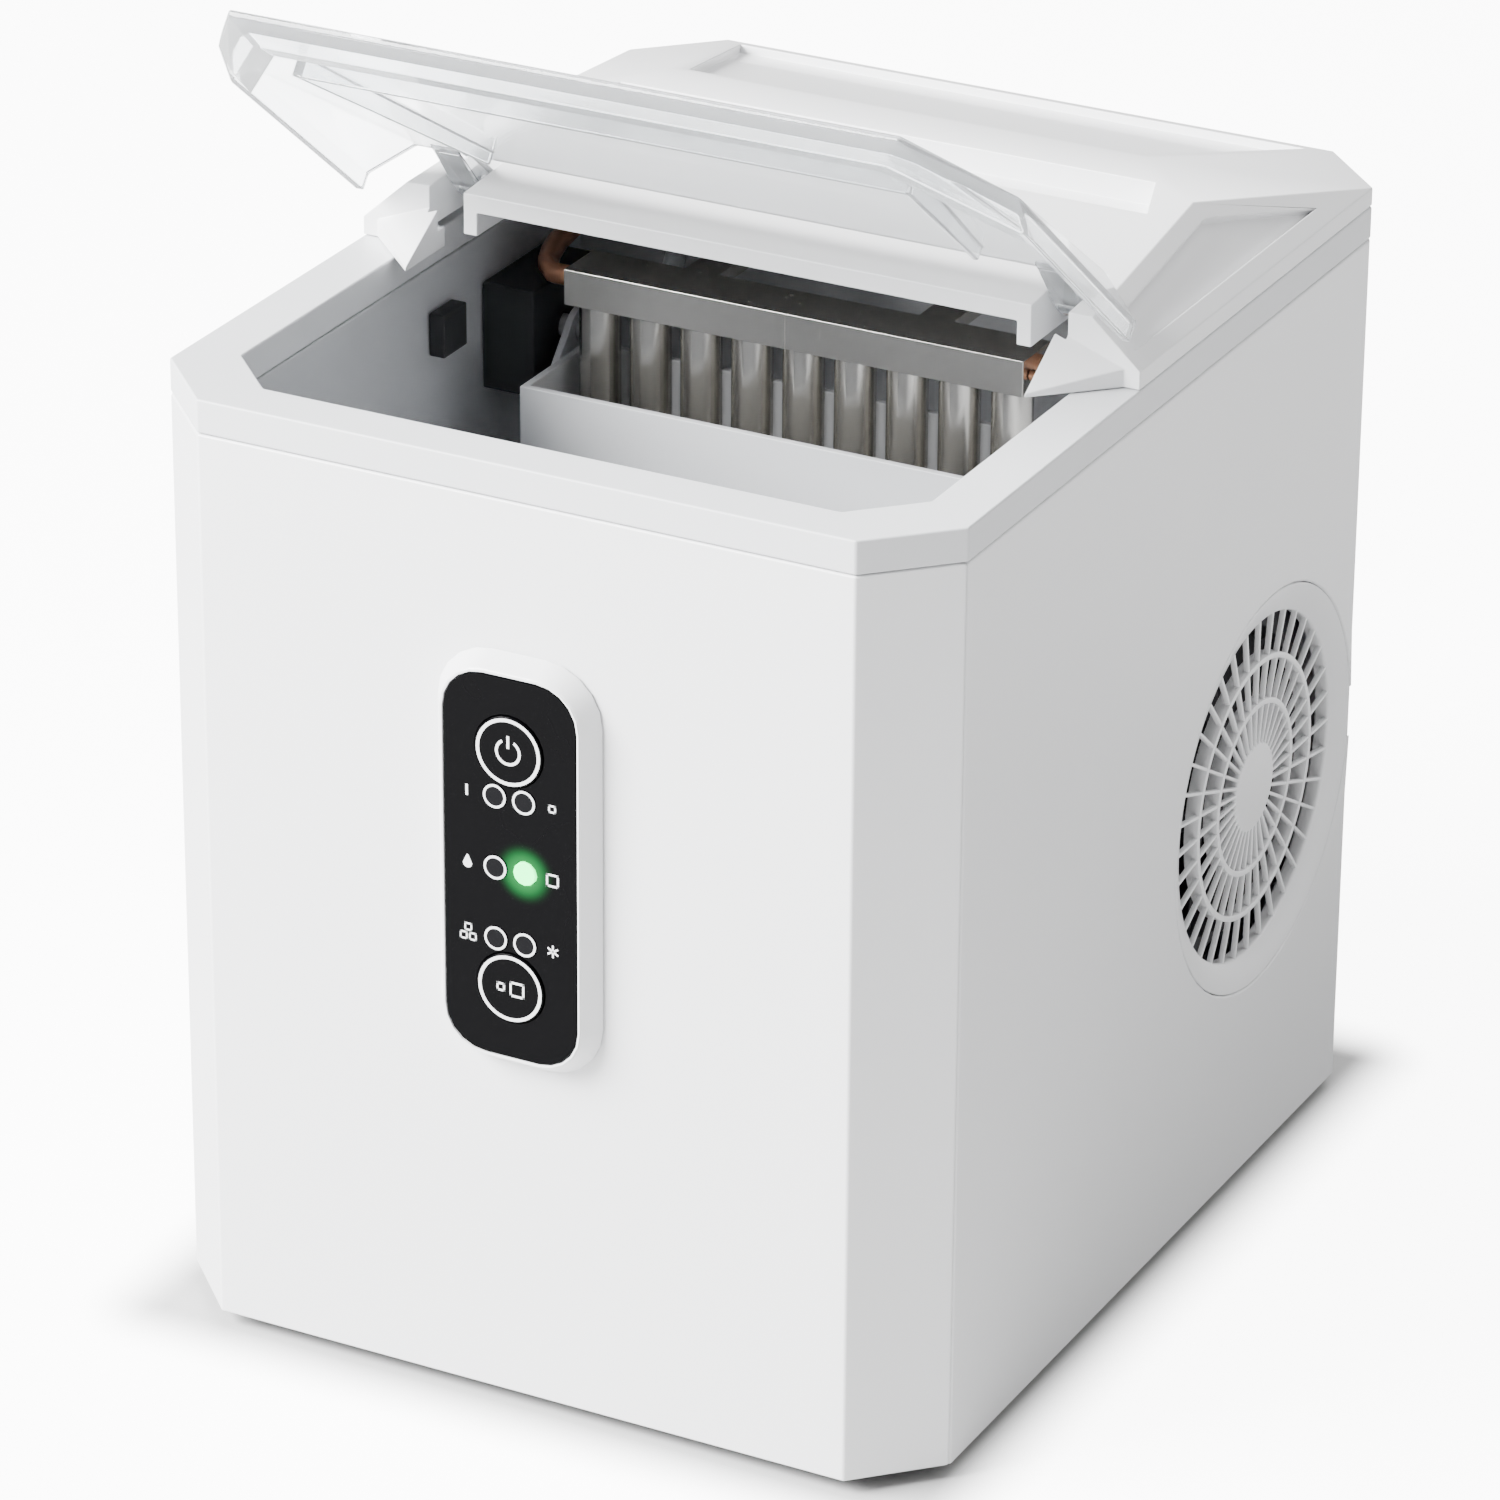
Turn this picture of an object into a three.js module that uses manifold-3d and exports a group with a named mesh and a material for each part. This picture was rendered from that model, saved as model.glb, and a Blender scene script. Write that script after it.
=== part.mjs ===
// Countertop bullet-ice maker, in millimetres. +Z is up and the front faces -Y.
// Pieces are drawn in a machine frame whose origin is on the floor, midway between
// the sides and in line with the front panel. The machine group then moves them so
// that the origin is the middle of the footprint. The lid stands half open.

import * as THREE from "three";
import { ConvexGeometry } from "three/addons/geometries/ConvexGeometry.js";
import { mergeVertices } from "three/addons/utils/BufferGeometryUtils.js";
import Module from "manifold-3d";

const wasm = await Module();
wasm.setup();

// ---------------------------------------------------------------- driving sizes

// Body shell
const BODY_W = 222;
const BODY_D = 280;
const CORNER = 20; // chamfer of the four upright corners
const WALL = 2.5;
const FOOT_H = 4; // height of the rubber feet under the base
const SHELL_TOP = 252; // top edge of the upright panels above the floor
const RIM_H = 9; // visible height of the top frame
const GAP = 0.3; // left between pieces that touch

// Roof, shared by the lid and the fixed rear cover
const EAVE_H = 5.2; // upright wall between the rim and the sloping sides
const ROOF_FRONT_H = 9.2; // roof above the rim at the front panel
const ROOF_RISE = 0.07; // rise of the roof towards the back
const SIDE_PITCH = 0.9; // slope of the side facets
const RIDGE_BACK = 73; // rear edge of the flat roof, in from the back
const COVER_T = 5; // rear cover, thick enough for its sunk panels
const SUNK = 2.4; // depth of the sunk panels
const SUNK_BORDER = 5;
const TROUGH_D = 18; // trough across the roof
const TROUGH_HALF_W = 84;
const TROUGH_TAPER = 6; // narrower towards the rear
const TROUGH_H = 6;
const TROUGH_Y = 185;

// Lid and its hinge
const LID_D = 114.3; // front panel to the rear edge of the closed lid
const LID_T = 2.5;
const LID_INSET = 0.8; // side walls stand back from the body's faces
const LID_SIDE_H = 5.6; // upright side walls
const LID_OVERHANG = 6.4; // the front edge stands past the front panel as a finger grip
const LID_NOSE_T = 1.8; // blunt edge of that grip
const LID_FOOT = 1.7; // front panel to the foot of the sloping front wall
const LID_FOOT_CORNER = 24; // corner facet across the foot of the front wall
const LID_FOOT_RUN = 36; // and back along the foot of the side wall
const LID_RUN = 32; // the same facet along the top of the side wall
const LIP_T = 2; // stiffening lip under the roof
const LIP_FRONT = 21.3; // front panel to the lip
const LIP_RISE = 0.12; // the lip's lower edge rises towards the back
const LIP_FRONT_HALF_W = 85;
const LIP_REAR_HALF_W = 70;
const LIP_REAR = 12; // rear end of the lip, in from the lid's rear edge
const LID_OPEN_DEG = 39; // as modelled
const HINGE_Y = 132.6;
const HINGE_DROP = 5.6; // hinge axis below the roof
const PIN_R = 2;
const PIN_CLEARANCE = 0.15;
const ARM_W = 8;
const ARM_X = 86; // middle of each lid arm
const ARM_R = 4; // eye of a lid arm around its pin
const LUG_W = 4; // lugs of the cover on both sides of an arm
const CHEEK_D = 18; // ramps beside the throat, in front of the cover

// Opening and tub
const OPENING_HALF_W = 96;
const OPENING_FRONT = 14; // front panel to the opening
const OPENING_CORNER = 16;
const BIN_BACK = 118; // rear face of the ice bin
const CHAMBER_BACK = 204; // rear face of the freezing chamber behind it
const TUB_T = 2;
const TUB_FLOOR = 32;
const SILL_DROP = 90; // step from the bin to the chamber floor, below the panels' top edge
const CHAMBER_FALL = 6; // the chamber floor falls forward by this much

// Ice basket
const BASKET_FLOOR = 92;
const BASKET_GAP = 3; // to the tub's walls
const BASKET_T = 2;
const BASKET_FRONT_DROP = 12; // front wall below the panels' top edge
const BASKET_REAR_DROP = 88; // low rear wall that lets the ice in
const BASKET_BACK_RUN = 30; // level top edge before its side walls slope down
const BASKET_SLOTS = 11;
const BASKET_PITCH = 14.5;
const BASKET_SLOT_W = 5;

// Freezing unit. Heights are drops below the top edge of the panels.
const FINGERS = 9;
const FINGER_SIDE = 36; // side of the opening to the outermost finger
const FINGER_R = 5.5;
const FINGER_DROP = 56; // tip of the fingers
const FINGER_Y = 150;
const BAR_DROP = 11;
const BAR_H = 10;
const BAR_D = 16;
const BAR_END = 1; // bar past the outermost fingers
const HANGER_END = 32.5; // end of the bar to the middle of a hanger
const TRAY_CLEARANCE = 5.5; // end of the bar to the end of the tray
const TRAY_T = 2;
const TRAY_FRONT = 128;
const TRAY_BACK = 165;
const TRAY_DROP = 64;
const TRAY_H = 34;
const TRAY_CORNER = 14;
const AXLE_Y = 167;
const AXLE_DROP = 28;
const AXLE_R = 3;
const SHOVEL_R = 50; // clears the tray as it swings
const SHOVEL_T = 2.5;
const SHOVEL_FROM_DEG = 215;
const SHOVEL_TO_DEG = 245;
const MOTOR_D = 34;
const MOTOR_H = 30;

// Control panel
const PANEL_Z = 156;
const FACE_W = 37;
const FACE_H = 103.6;
const FACE_R = 11;
const FACE_T = 2;
const BEZEL_H = 6; // stands proud of the front panel
const BEZEL_RIM = 1; // border around the face plate
const BEZEL_FLARE = 3.8; // spread of its sloping sides
const BUTTON_R = 9.5;
const BUTTON_PROUD = 0.5;
const BUTTON_TRAVEL = 1;
const BUTTON_OFFSET = 32.4; // above and below the middle of the face
const LAMP_R = 3.2;
const LAMP_ROW = 19.5;
const LAMP_X = 4.1;
const BOARD_Y = 7.7;

// Fan and its grille
const FAN_FROM_BACK = 76; // its axis, in front of the rear face
const FAN_Z = 115;
const GRILLE_R = 56;
const GRILLE_HOLE_R = 48;
const GRILLE_DISH = 3; // depth of the sloping ring around the vanes
const GRILLE_T = 4;
const GRILLE_HUB_R = 12.4;
const GRILLE_RINGS = [23.6, 35.9];
const VANES = 24;
const FAN_SIZE = 90;
const FAN_T = 24;
const FAN_GAP = 4; // between the housing and the grille
const ROTOR_R = 41;
const BLADES = 7;

// Air slots in the left and rear panels
const SLOT_W = 3.6;
const SLOT_L = 72;
const SLOT_PITCH = 9;
const SIDE_SLOTS = 9;
const REAR_SLOTS = 7;

// Cooling unit
const COMPRESSOR_R = 50;
const COMPRESSOR_H = 104;
const COMPRESSOR_X = -38;
const COMPRESSOR_FROM_BACK = 80;
const CONDENSER_X = 57;
const CONDENSER_W = 26;
const CONDENSER_D = 86;
const CONDENSER_H = 84;
const FINS = 7;
const FIN_T = 1.5;
const DRIER_R = 8;
const DRIER_X = 30;
const DRIER_FROM_BACK = 18;
const VALVE_X = -12;
const VALVE_FROM_BACK = 16;
const VALVE_Z = 150;

// Pump, float and drain
const PUMP_SIDE = 12; // side of the opening to the pump
const PUMP_Y = 139;
const PUMP_R = 14;
const PUMP_H = 42;
const STEM_SIDE = 12;
const STEM_Y = 102;
const STEM_R = 2;
const FLOAT_R = 9;
const FLOAT_H = 14;
const DRAIN_SIDE = 18;
const DRAIN_Z = 40;
const DRAIN_R = 5;
const CAP_R = 11;
const CAP_T = 5;
const FOOT_R = 9;
const SCREW_R = 3.5;
const SCREW_HEAD = 1.4;
const GLAND_X = -80;
const GLAND_Z = 36;
const GLAND_R = 8;

// ---------------------------------------------------------------- derived sizes

const HALF_W = BODY_W / 2;
const FAN_Y = BODY_D - FAN_FROM_BACK;
const COMPRESSOR_Y = BODY_D - COMPRESSOR_FROM_BACK;
const DRIER_Y = BODY_D - DRIER_FROM_BACK;
const VALVE_Y = BODY_D - VALVE_FROM_BACK;
const PUMP_X = PUMP_SIDE - OPENING_HALF_W;
const STEM_X = OPENING_HALF_W - STEM_SIDE;
const DRAIN_X = OPENING_HALF_W - DRAIN_SIDE;
const NOTCH_INNER = OPENING_HALF_W - 44; // gap in the chamber's rear wall for the tubes
const NOTCH_OUTER = OPENING_HALF_W - 6;
const PAN_TOP = FOOT_H + 3; // upper face of the base pan's floor
const FRAME_Z = SHELL_TOP + GAP;
const RIM_Z = FRAME_Z + RIM_H;
const EAVE_Z = RIM_Z + EAVE_H;
const COVER_Z = RIM_Z + GAP;
const COVER_FRONT = LID_D + 1;
const THROAT_HALF_W = OPENING_HALF_W - 8;
const HINGE_Z = roofZ(HINGE_Y) - HINGE_DROP;
const SILL_Z = SHELL_TOP - SILL_DROP;
const BASKET_FRONT_TOP = SHELL_TOP - BASKET_FRONT_DROP;
const BASKET_REAR_TOP = SHELL_TOP - BASKET_REAR_DROP;
const FINGER_TIP = SHELL_TOP - FINGER_DROP;
const FINGER_PITCH = (2 * (OPENING_HALF_W - FINGER_SIDE)) / (FINGERS - 1);
const BAR_Z = SHELL_TOP - BAR_DROP;
const BAR_HALF_L = ((FINGERS - 1) * FINGER_PITCH) / 2 + FINGER_R + BAR_END;
const TRAY_HALF_L = BAR_HALF_L + TRAY_CLEARANCE;
const TRAY_BOTTOM = SHELL_TOP - TRAY_DROP;
const TRAY_RIM = TRAY_BOTTOM + TRAY_H;
const AXLE_Z = SHELL_TOP - AXLE_DROP;
const REAR_PROUD = CAP_T + GAP; // the drain cap reaches furthest back
const FRONT_PROUD = BEZEL_H + BUTTON_PROUD;

// ---------------------------------------------------------------- materials

const plastic = (color, roughness = 0.35) => new THREE.MeshStandardMaterial({ color, roughness, metalness: 0 });
const metal = (color, roughness = 0.4) => new THREE.MeshStandardMaterial({ color, roughness, metalness: 0.9 });
const WHITE = plastic(0xf2f2f3);
const GREY = plastic(0xb9bcc0);
const PALE_GREY = plastic(0xd9dadd);
const BLACK = plastic(0x0c0d10, 0.15);
const DARK = plastic(0x24262b, 0.6);
const CLEAR = new THREE.MeshStandardMaterial({
  color: 0xe8eef2,
  roughness: 0.08,
  transparent: true,
  opacity: 0.35,
});
const LAMP_OFF = plastic(0x2a2d31, 0.2);
const LAMP_ON = new THREE.MeshStandardMaterial({ color: 0x35f06a, emissive: 0x1ed950, roughness: 0.2 });
const RUBBER = plastic(0x2b2b2d, 0.85);
const STEEL = metal(0xb8bcc2);
const ALUMINIUM = metal(0xcdd1d6, 0.5);
const COPPER = metal(0xb87346, 0.35);
const NICKEL = metal(0xc9c6bd, 0.2);
const PAINTED = plastic(0x1b1c1f, 0.5);
const BOARD = plastic(0x1f6b3c, 0.55);

// ---------------------------------------------------------------- solids

/** A closed three.js geometry as a solid that can be joined and cut. */
function solid(geometry) {
  const bare = new THREE.BufferGeometry();
  bare.setAttribute("position", geometry.getAttribute("position"));
  bare.setIndex(geometry.getIndex());
  const merged = mergeVertices(bare, 1e-4);
  const vertProperties = new Float32Array(merged.getAttribute("position").array);
  const triVerts = new Uint32Array(merged.getIndex().array);
  return new wasm.Manifold(new wasm.Mesh({ numProp: 3, vertProperties, triVerts }));
}

const join = (...solids) => solids.reduce((sum, next) => sum.add(next));
const cut = (body, ...tools) => tools.reduce((rest, tool) => rest.subtract(tool), body);

/** A closed outline, drawn through [u, v] points. */
function outline(points) {
  return new THREE.Shape(points.map(([u, v]) => new THREE.Vector2(u, v)));
}

/** Points of an arc about [u, v], from one angle in degrees to another. */
function arc(u, v, r, fromDeg, toDeg, steps) {
  return Array.from({ length: steps + 1 }, (_, i) => {
    const angle = THREE.MathUtils.degToRad(fromDeg + ((toDeg - fromDeg) * i) / steps);
    return [u + r * Math.cos(angle), v + r * Math.sin(angle)];
  });
}

const circle = (u, v, r, sides = 24) => arc(u, v, r, 0, 360 * (1 - 1 / sides), sides - 1);

/** A rectangle with round corners, centred on [u, v]. */
function roundedRect(u, v, w, h, r, steps = 5) {
  const [a, b] = [w / 2 - r, h / 2 - r];
  return [
    ...arc(u + a, v + b, r, 0, 90, steps),
    ...arc(u - a, v + b, r, 90, 180, steps),
    ...arc(u - a, v - b, r, 180, 270, steps),
    ...arc(u + a, v - b, r, 270, 360, steps),
  ];
}

const extrude = (points, depth) => new THREE.ExtrudeGeometry(outline(points), { depth, bevelEnabled: false });

/** An [x, y] outline raised from z0 to z1. */
function prismZ(points, z0, z1) {
  return solid(extrude(points, z1 - z0).translate(0, 0, z0));
}

/** A [y, z] outline drawn out from x0 to x1. */
function prismX(points, x0, x1) {
  const turn = new THREE.Matrix4().makeBasis(
    new THREE.Vector3(0, 1, 0),
    new THREE.Vector3(0, 0, 1),
    new THREE.Vector3(1, 0, 0),
  );
  return solid(extrude(points, x1 - x0).applyMatrix4(turn).translate(x0, 0, 0));
}

/** An [x, z] outline drawn out from y0 to y1. */
function prismY(points, y0, y1) {
  return solid(extrude(points, y1 - y0).rotateX(Math.PI / 2).translate(0, y1, 0));
}

function box(x0, x1, y0, y1, z0, z1) {
  const size = [x1 - x0, y1 - y0, z1 - z0];
  const geometry = new THREE.BoxGeometry(...size);
  return solid(geometry.translate((x0 + x1) / 2, (y0 + y1) / 2, (z0 + z1) / 2));
}

const rodX = (y, z, r, x0, x1, sides = 24) => prismX(circle(y, z, r, sides), x0, x1);
const rodY = (x, z, r, y0, y1, sides = 24) => prismY(circle(x, z, r, sides), y0, y1);
const rodZ = (x, y, r, z0, z1, sides = 24) => prismZ(circle(x, y, r, sides), z0, z1);

/** The convex body around a list of [x, y, z] points. */
function hull(points) {
  return solid(new ConvexGeometry(points.map((p) => new THREE.Vector3(...p))));
}

/** The hollow of a convex body: each face is moved in by the depth that its normal gives. */
function hollowOf(points, depth) {
  const corners = new ConvexGeometry(points.map((p) => new THREE.Vector3(...p))).getAttribute("position");
  const faces = [];
  for (let i = 0; i < corners.count; i += 3) {
    const [a, b, c] = [0, 1, 2].map((k) => new THREE.Vector3().fromBufferAttribute(corners, i + k));
    const face = new THREE.Plane().setFromCoplanarPoints(a, b, c);
    const same = (other) => other.normal.distanceTo(face.normal) < 1e-3
      && Math.abs(other.constant - face.constant) < 1e-2;
    if (!faces.some(same)) faces.push(face);
  }
  faces.forEach((face) => {
    face.constant += depth(face.normal);
  });
  const inner = [];
  for (const [i, p] of faces.entries()) {
    for (const [j, q] of faces.slice(i + 1).entries()) {
      for (const r of faces.slice(i + j + 2)) {
        const normals = new THREE.Matrix3().set(...p.normal, ...q.normal, ...r.normal);
        if (Math.abs(normals.determinant()) < 1e-4) continue;
        const corner = new THREE.Vector3(-p.constant, -q.constant, -r.constant).applyMatrix3(normals.invert());
        if (faces.every((face) => face.distanceToPoint(corner) < 1e-3)) inner.push(corner.toArray());
      }
    }
  }
  return hull(inner);
}

/** A round tube along a smooth curve through [x, y, z] points. */
function tube(points, r, steps, sides = 6) {
  const extrudePath = new THREE.CatmullRomCurve3(points.map((p) => new THREE.Vector3(...p)));
  const section = outline(circle(0, 0, r, sides));
  return new THREE.ExtrudeGeometry(section, { steps, extrudePath, bevelEnabled: false });
}

/** A body turned from an [r, z] profile that starts and ends on its axis. */
function turned(profile, x, y, sides = 32) {
  const points = profile.map(([r, z]) => new THREE.Vector2(r, z));
  return new THREE.LatheGeometry(points, sides).rotateX(Math.PI / 2).translate(x, y, 0);
}

const machine = new THREE.Group();
machine.position.y = (FRONT_PROUD - REAR_PROUD - BODY_D) / 2;

/** Adds a named piece; it may be a three.js geometry or a solid. */
function piece(name, body, material, parent = machine) {
  let geometry = body;
  if (!body.isBufferGeometry) {
    const mesh = body.getMesh();
    geometry = new THREE.BufferGeometry();
    geometry.setAttribute("position", new THREE.BufferAttribute(mesh.vertProperties, 3));
    geometry.setIndex(new THREE.BufferAttribute(mesh.triVerts, 1));
    geometry.computeVertexNormals();
  }
  const added = new THREE.Mesh(geometry, material);
  added.name = name;
  parent.add(added);
  return added;
}

// ---------------------------------------------------------------- shared outlines

/** Chamfered plan outline of the body, moved in by inset. */
function plan(inset, front = 0, back = BODY_D) {
  const [x, y0, y1] = [HALF_W - inset, front + inset, back - inset];
  const c = CORNER - inset * (2 - Math.SQRT2);
  return [
    [-x + c, y0], [x - c, y0], [x, y0 + c], [x, y1 - c],
    [x - c, y1], [-x + c, y1], [-x, y1 - c], [-x, y0 + c],
  ];
}

/** Plan outline with chamfered front corners and square rear ones. */
function frontChamfered(halfW, front, back, corner) {
  return [
    [-halfW + corner, front], [halfW - corner, front], [halfW, front + corner],
    [halfW, back], [-halfW, back], [-halfW, front + corner],
  ];
}

function roofZ(y) {
  return RIM_Z + ROOF_FRONT_H + ROOF_RISE * y;
}

/** Half width of the flat roof at a distance from the front. */
function roofHalfW(y) {
  return HALF_W - (roofZ(y) - EAVE_Z) / SIDE_PITCH;
}

const mirrored = (points) => points.flatMap(([x, y, z]) => [[x, y, z], [-x, y, z]]);

// ---------------------------------------------------------------- body shell

function makeShell() {
  const ring = cut(prismZ(plan(0), FOOT_H, SHELL_TOP), prismZ(plan(WALL), FOOT_H - 1, SHELL_TOP + 1));
  const slab = (y0, y1) => box(-BODY_W, BODY_W, y0, y1, 0, SHELL_TOP + 1);
  const side = (s) => box(Math.min(0, s * BODY_W), Math.max(0, s * BODY_W), CORNER + GAP / 2,
    BODY_D - CORNER - GAP / 2, 0, SHELL_TOP + 1);

  const panelHole = roundedRect(0, PANEL_Z, FACE_W - 3, FACE_H - 3, FACE_R - 2);
  const front = ring.intersect(slab(-1, CORNER - GAP / 2));
  piece("front_panel", cut(front, prismY(panelHole, -1, WALL + 1)), WHITE);

  const ventHole = rodX(FAN_Y, FAN_Z, GRILLE_R + GAP, HALF_W - WALL - 1, HALF_W + 1, 48);
  piece("right_side_panel", cut(ring.intersect(side(1)), ventHole), WHITE);

  const slots = Array.from({ length: SIDE_SLOTS }, (_, i) => {
    const y = FAN_Y + (i - (SIDE_SLOTS - 1) / 2) * SLOT_PITCH;
    return box(-HALF_W - 1, -HALF_W + WALL + 1, y, y + SLOT_W, FAN_Z - SLOT_L / 2, FAN_Z + SLOT_L / 2);
  });
  piece("left_side_panel", cut(ring.intersect(side(-1)), ...slots), WHITE);

  const rearFace = [BODY_D - WALL - 1, BODY_D + 1];
  const rearSlots = Array.from({ length: REAR_SLOTS }, (_, i) => {
    const z = FAN_Z + (i - (REAR_SLOTS - 1) / 2) * SLOT_PITCH;
    return box(-SLOT_L / 2, SLOT_L / 2, ...rearFace, z, z + SLOT_W);
  });
  const screwHoles = screwPlaces().map(([x, z]) => rodY(x, z, SCREW_R / 2 + GAP, ...rearFace, 16));
  const rear = cut(
    ring.intersect(slab(BODY_D - CORNER + GAP / 2, BODY_D + 1)),
    rodY(DRAIN_X, DRAIN_Z, DRAIN_R + 1 + GAP, ...rearFace),
    rodY(GLAND_X, GLAND_Z, GLAND_R - 2 + GAP, ...rearFace),
    ...rearSlots,
    ...screwHoles,
  );
  piece("rear_panel", rear, WHITE);

  const pan = cut(
    prismZ(plan(WALL + GAP), FOOT_H, FOOT_H + 16),
    prismZ(plan(WALL + GAP + 2), PAN_TOP, FOOT_H + 17),
    ...footPlaces().map(([x, y]) => rodZ(x, y, FOOT_R / 3 + GAP, 0, PAN_TOP + 1, 12)),
    ...screwPlaces().slice(0, 2).map(([x, z]) => rodY(x, z, SCREW_R / 2 + GAP, BODY_D - 9, BODY_D, 12)),
  );
  piece("base_pan", pan, DARK);
}

function footPlaces() {
  const [x, y] = [HALF_W - 28, 30];
  return [[-x, y], [x, y], [-x, BODY_D - y], [x, BODY_D - y]];
}

function screwPlaces() {
  const x = HALF_W - CORNER - 6;
  return [[-x, FOOT_H + 9], [x, FOOT_H + 9], [-x, SHELL_TOP - 12], [x, SHELL_TOP - 12]];
}

function makeFeetAndScrews() {
  const corners = ["front_left", "front_right", "rear_left", "rear_right"];
  footPlaces().forEach(([x, y], i) => {
    const stud = FOOT_R / 3;
    const profile = [
      [0, 0], [FOOT_R - 1, 0], [FOOT_R, FOOT_H - GAP],
      [stud, FOOT_H - GAP], [stud, PAN_TOP + 1.5], [0, PAN_TOP + 1.5],
    ];
    piece(`foot_${corners[i]}`, turned(profile, x, y, 16), RUBBER);
  });
  const places = ["lower_left", "lower_right", "upper_left", "upper_right"];
  screwPlaces().forEach(([x, z], i) => {
    const head = rodY(x, z, SCREW_R, BODY_D + GAP, BODY_D + GAP + SCREW_HEAD, 16);
    const shank = rodY(x, z, SCREW_R / 2, BODY_D - 8, BODY_D + GAP + 0.1, 12);
    const slot = box(x - 2.2, x + 2.2, BODY_D + GAP + SCREW_HEAD - 0.7, BODY_D + 9, z - 0.5, z + 0.5);
    piece(`rear_screw_${places[i]}`, cut(join(head, shank), slot), STEEL);
  });
}

function makeTopFrame() {
  const opening = frontChamfered(OPENING_HALF_W, OPENING_FRONT, CHAMBER_BACK, OPENING_CORNER);
  const deckPocket = plan(WALL + 3, CHAMBER_BACK + 2, BODY_D);
  const frame = cut(
    join(
      prismZ(plan(0), FRAME_Z, RIM_Z),
      cut(
        prismZ(plan(WALL + GAP), SHELL_TOP - 5, FRAME_Z + 1),
        prismZ(plan(WALL + GAP + 1.6), SHELL_TOP - 6, FRAME_Z),
      ),
    ),
    prismZ(opening, SHELL_TOP - 9, RIM_Z + 1),
    prismZ(deckPocket, FRAME_Z + 3, RIM_Z + 1),
  );
  piece("top_frame", frame, PALE_GREY);
}

// ---------------------------------------------------------------- rear cover

/** Cutter for a panel sunk into a flat facet: its outline moved in by a border. */
function sunkPanel(corners, border, depth) {
  const points = corners.map((p) => new THREE.Vector3(...p));
  const normal = new THREE.Plane().setFromCoplanarPoints(points[0], points[1], points[2]).normal;
  const middle = points.reduce((sum, p) => sum.clone().add(p)).divideScalar(points.length);
  const edgeLine = (i) => {
    const [a, b] = [points[i], points[(i + 1) % points.length]];
    const along = b.clone().sub(a).normalize();
    const inward = normal.clone().cross(along);
    if (inward.dot(middle.clone().sub(a)) < 0) inward.negate();
    return { start: a.clone().addScaledVector(inward, border), along, inward };
  };
  const count = points.length;
  const inner = points.map((_, i) => {
    const [before, after] = [edgeLine((i + count - 1) % count), edgeLine(i)];
    const reach = after.start.clone().sub(before.start).dot(after.inward) / before.along.dot(after.inward);
    return before.start.clone().addScaledVector(before.along, reach);
  });
  const shifted = (step) => inner.map((p) => p.clone().addScaledVector(normal, step).toArray());
  return hull([-depth, 8].flatMap(shifted));
}

/** Corners of the rear cover; its front edge leaves 1 mm to the closed lid. */
function coverCorners() {
  const ridge = BODY_D - RIDGE_BACK;
  const shoulder = ridge - CORNER;
  const wall = [[HALF_W, COVER_FRONT], [HALF_W, BODY_D - CORNER], [HALF_W - CORNER, BODY_D]];
  const roof = [
    [roofHalfW(COVER_FRONT), COVER_FRONT], [roofHalfW(shoulder), shoulder], [roofHalfW(ridge) - CORNER, ridge],
  ];
  return mirrored([
    ...wall.map(([x, y]) => [x, y, COVER_Z]),
    ...wall.map(([x, y]) => [x, y, EAVE_Z]),
    ...roof.map(([x, y]) => [x, y, roofZ(y)]),
  ]);
}

/** A ramp beside the throat, from the cover's front edge down to the top frame. */
function cheek(s) {
  const [inner, outer] = [THROAT_HALF_W, HALF_W - LID_INSET - LID_T - 1];
  const top = roofZ(COVER_FRONT) - COVER_T;
  return hull([
    [s * inner, COVER_FRONT - CHEEK_D, COVER_Z], [s * inner, COVER_FRONT - CHEEK_D, COVER_Z + 1],
    [s * inner, COVER_FRONT, top], [s * inner, COVER_FRONT + 1, top], [s * inner, COVER_FRONT + 1, COVER_Z],
    [s * outer, COVER_FRONT, COVER_Z], [s * outer, COVER_FRONT + 1, COVER_Z],
    [s * outer, COVER_FRONT, EAVE_Z], [s * outer, COVER_FRONT + 1, EAVE_Z],
  ]);
}

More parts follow.
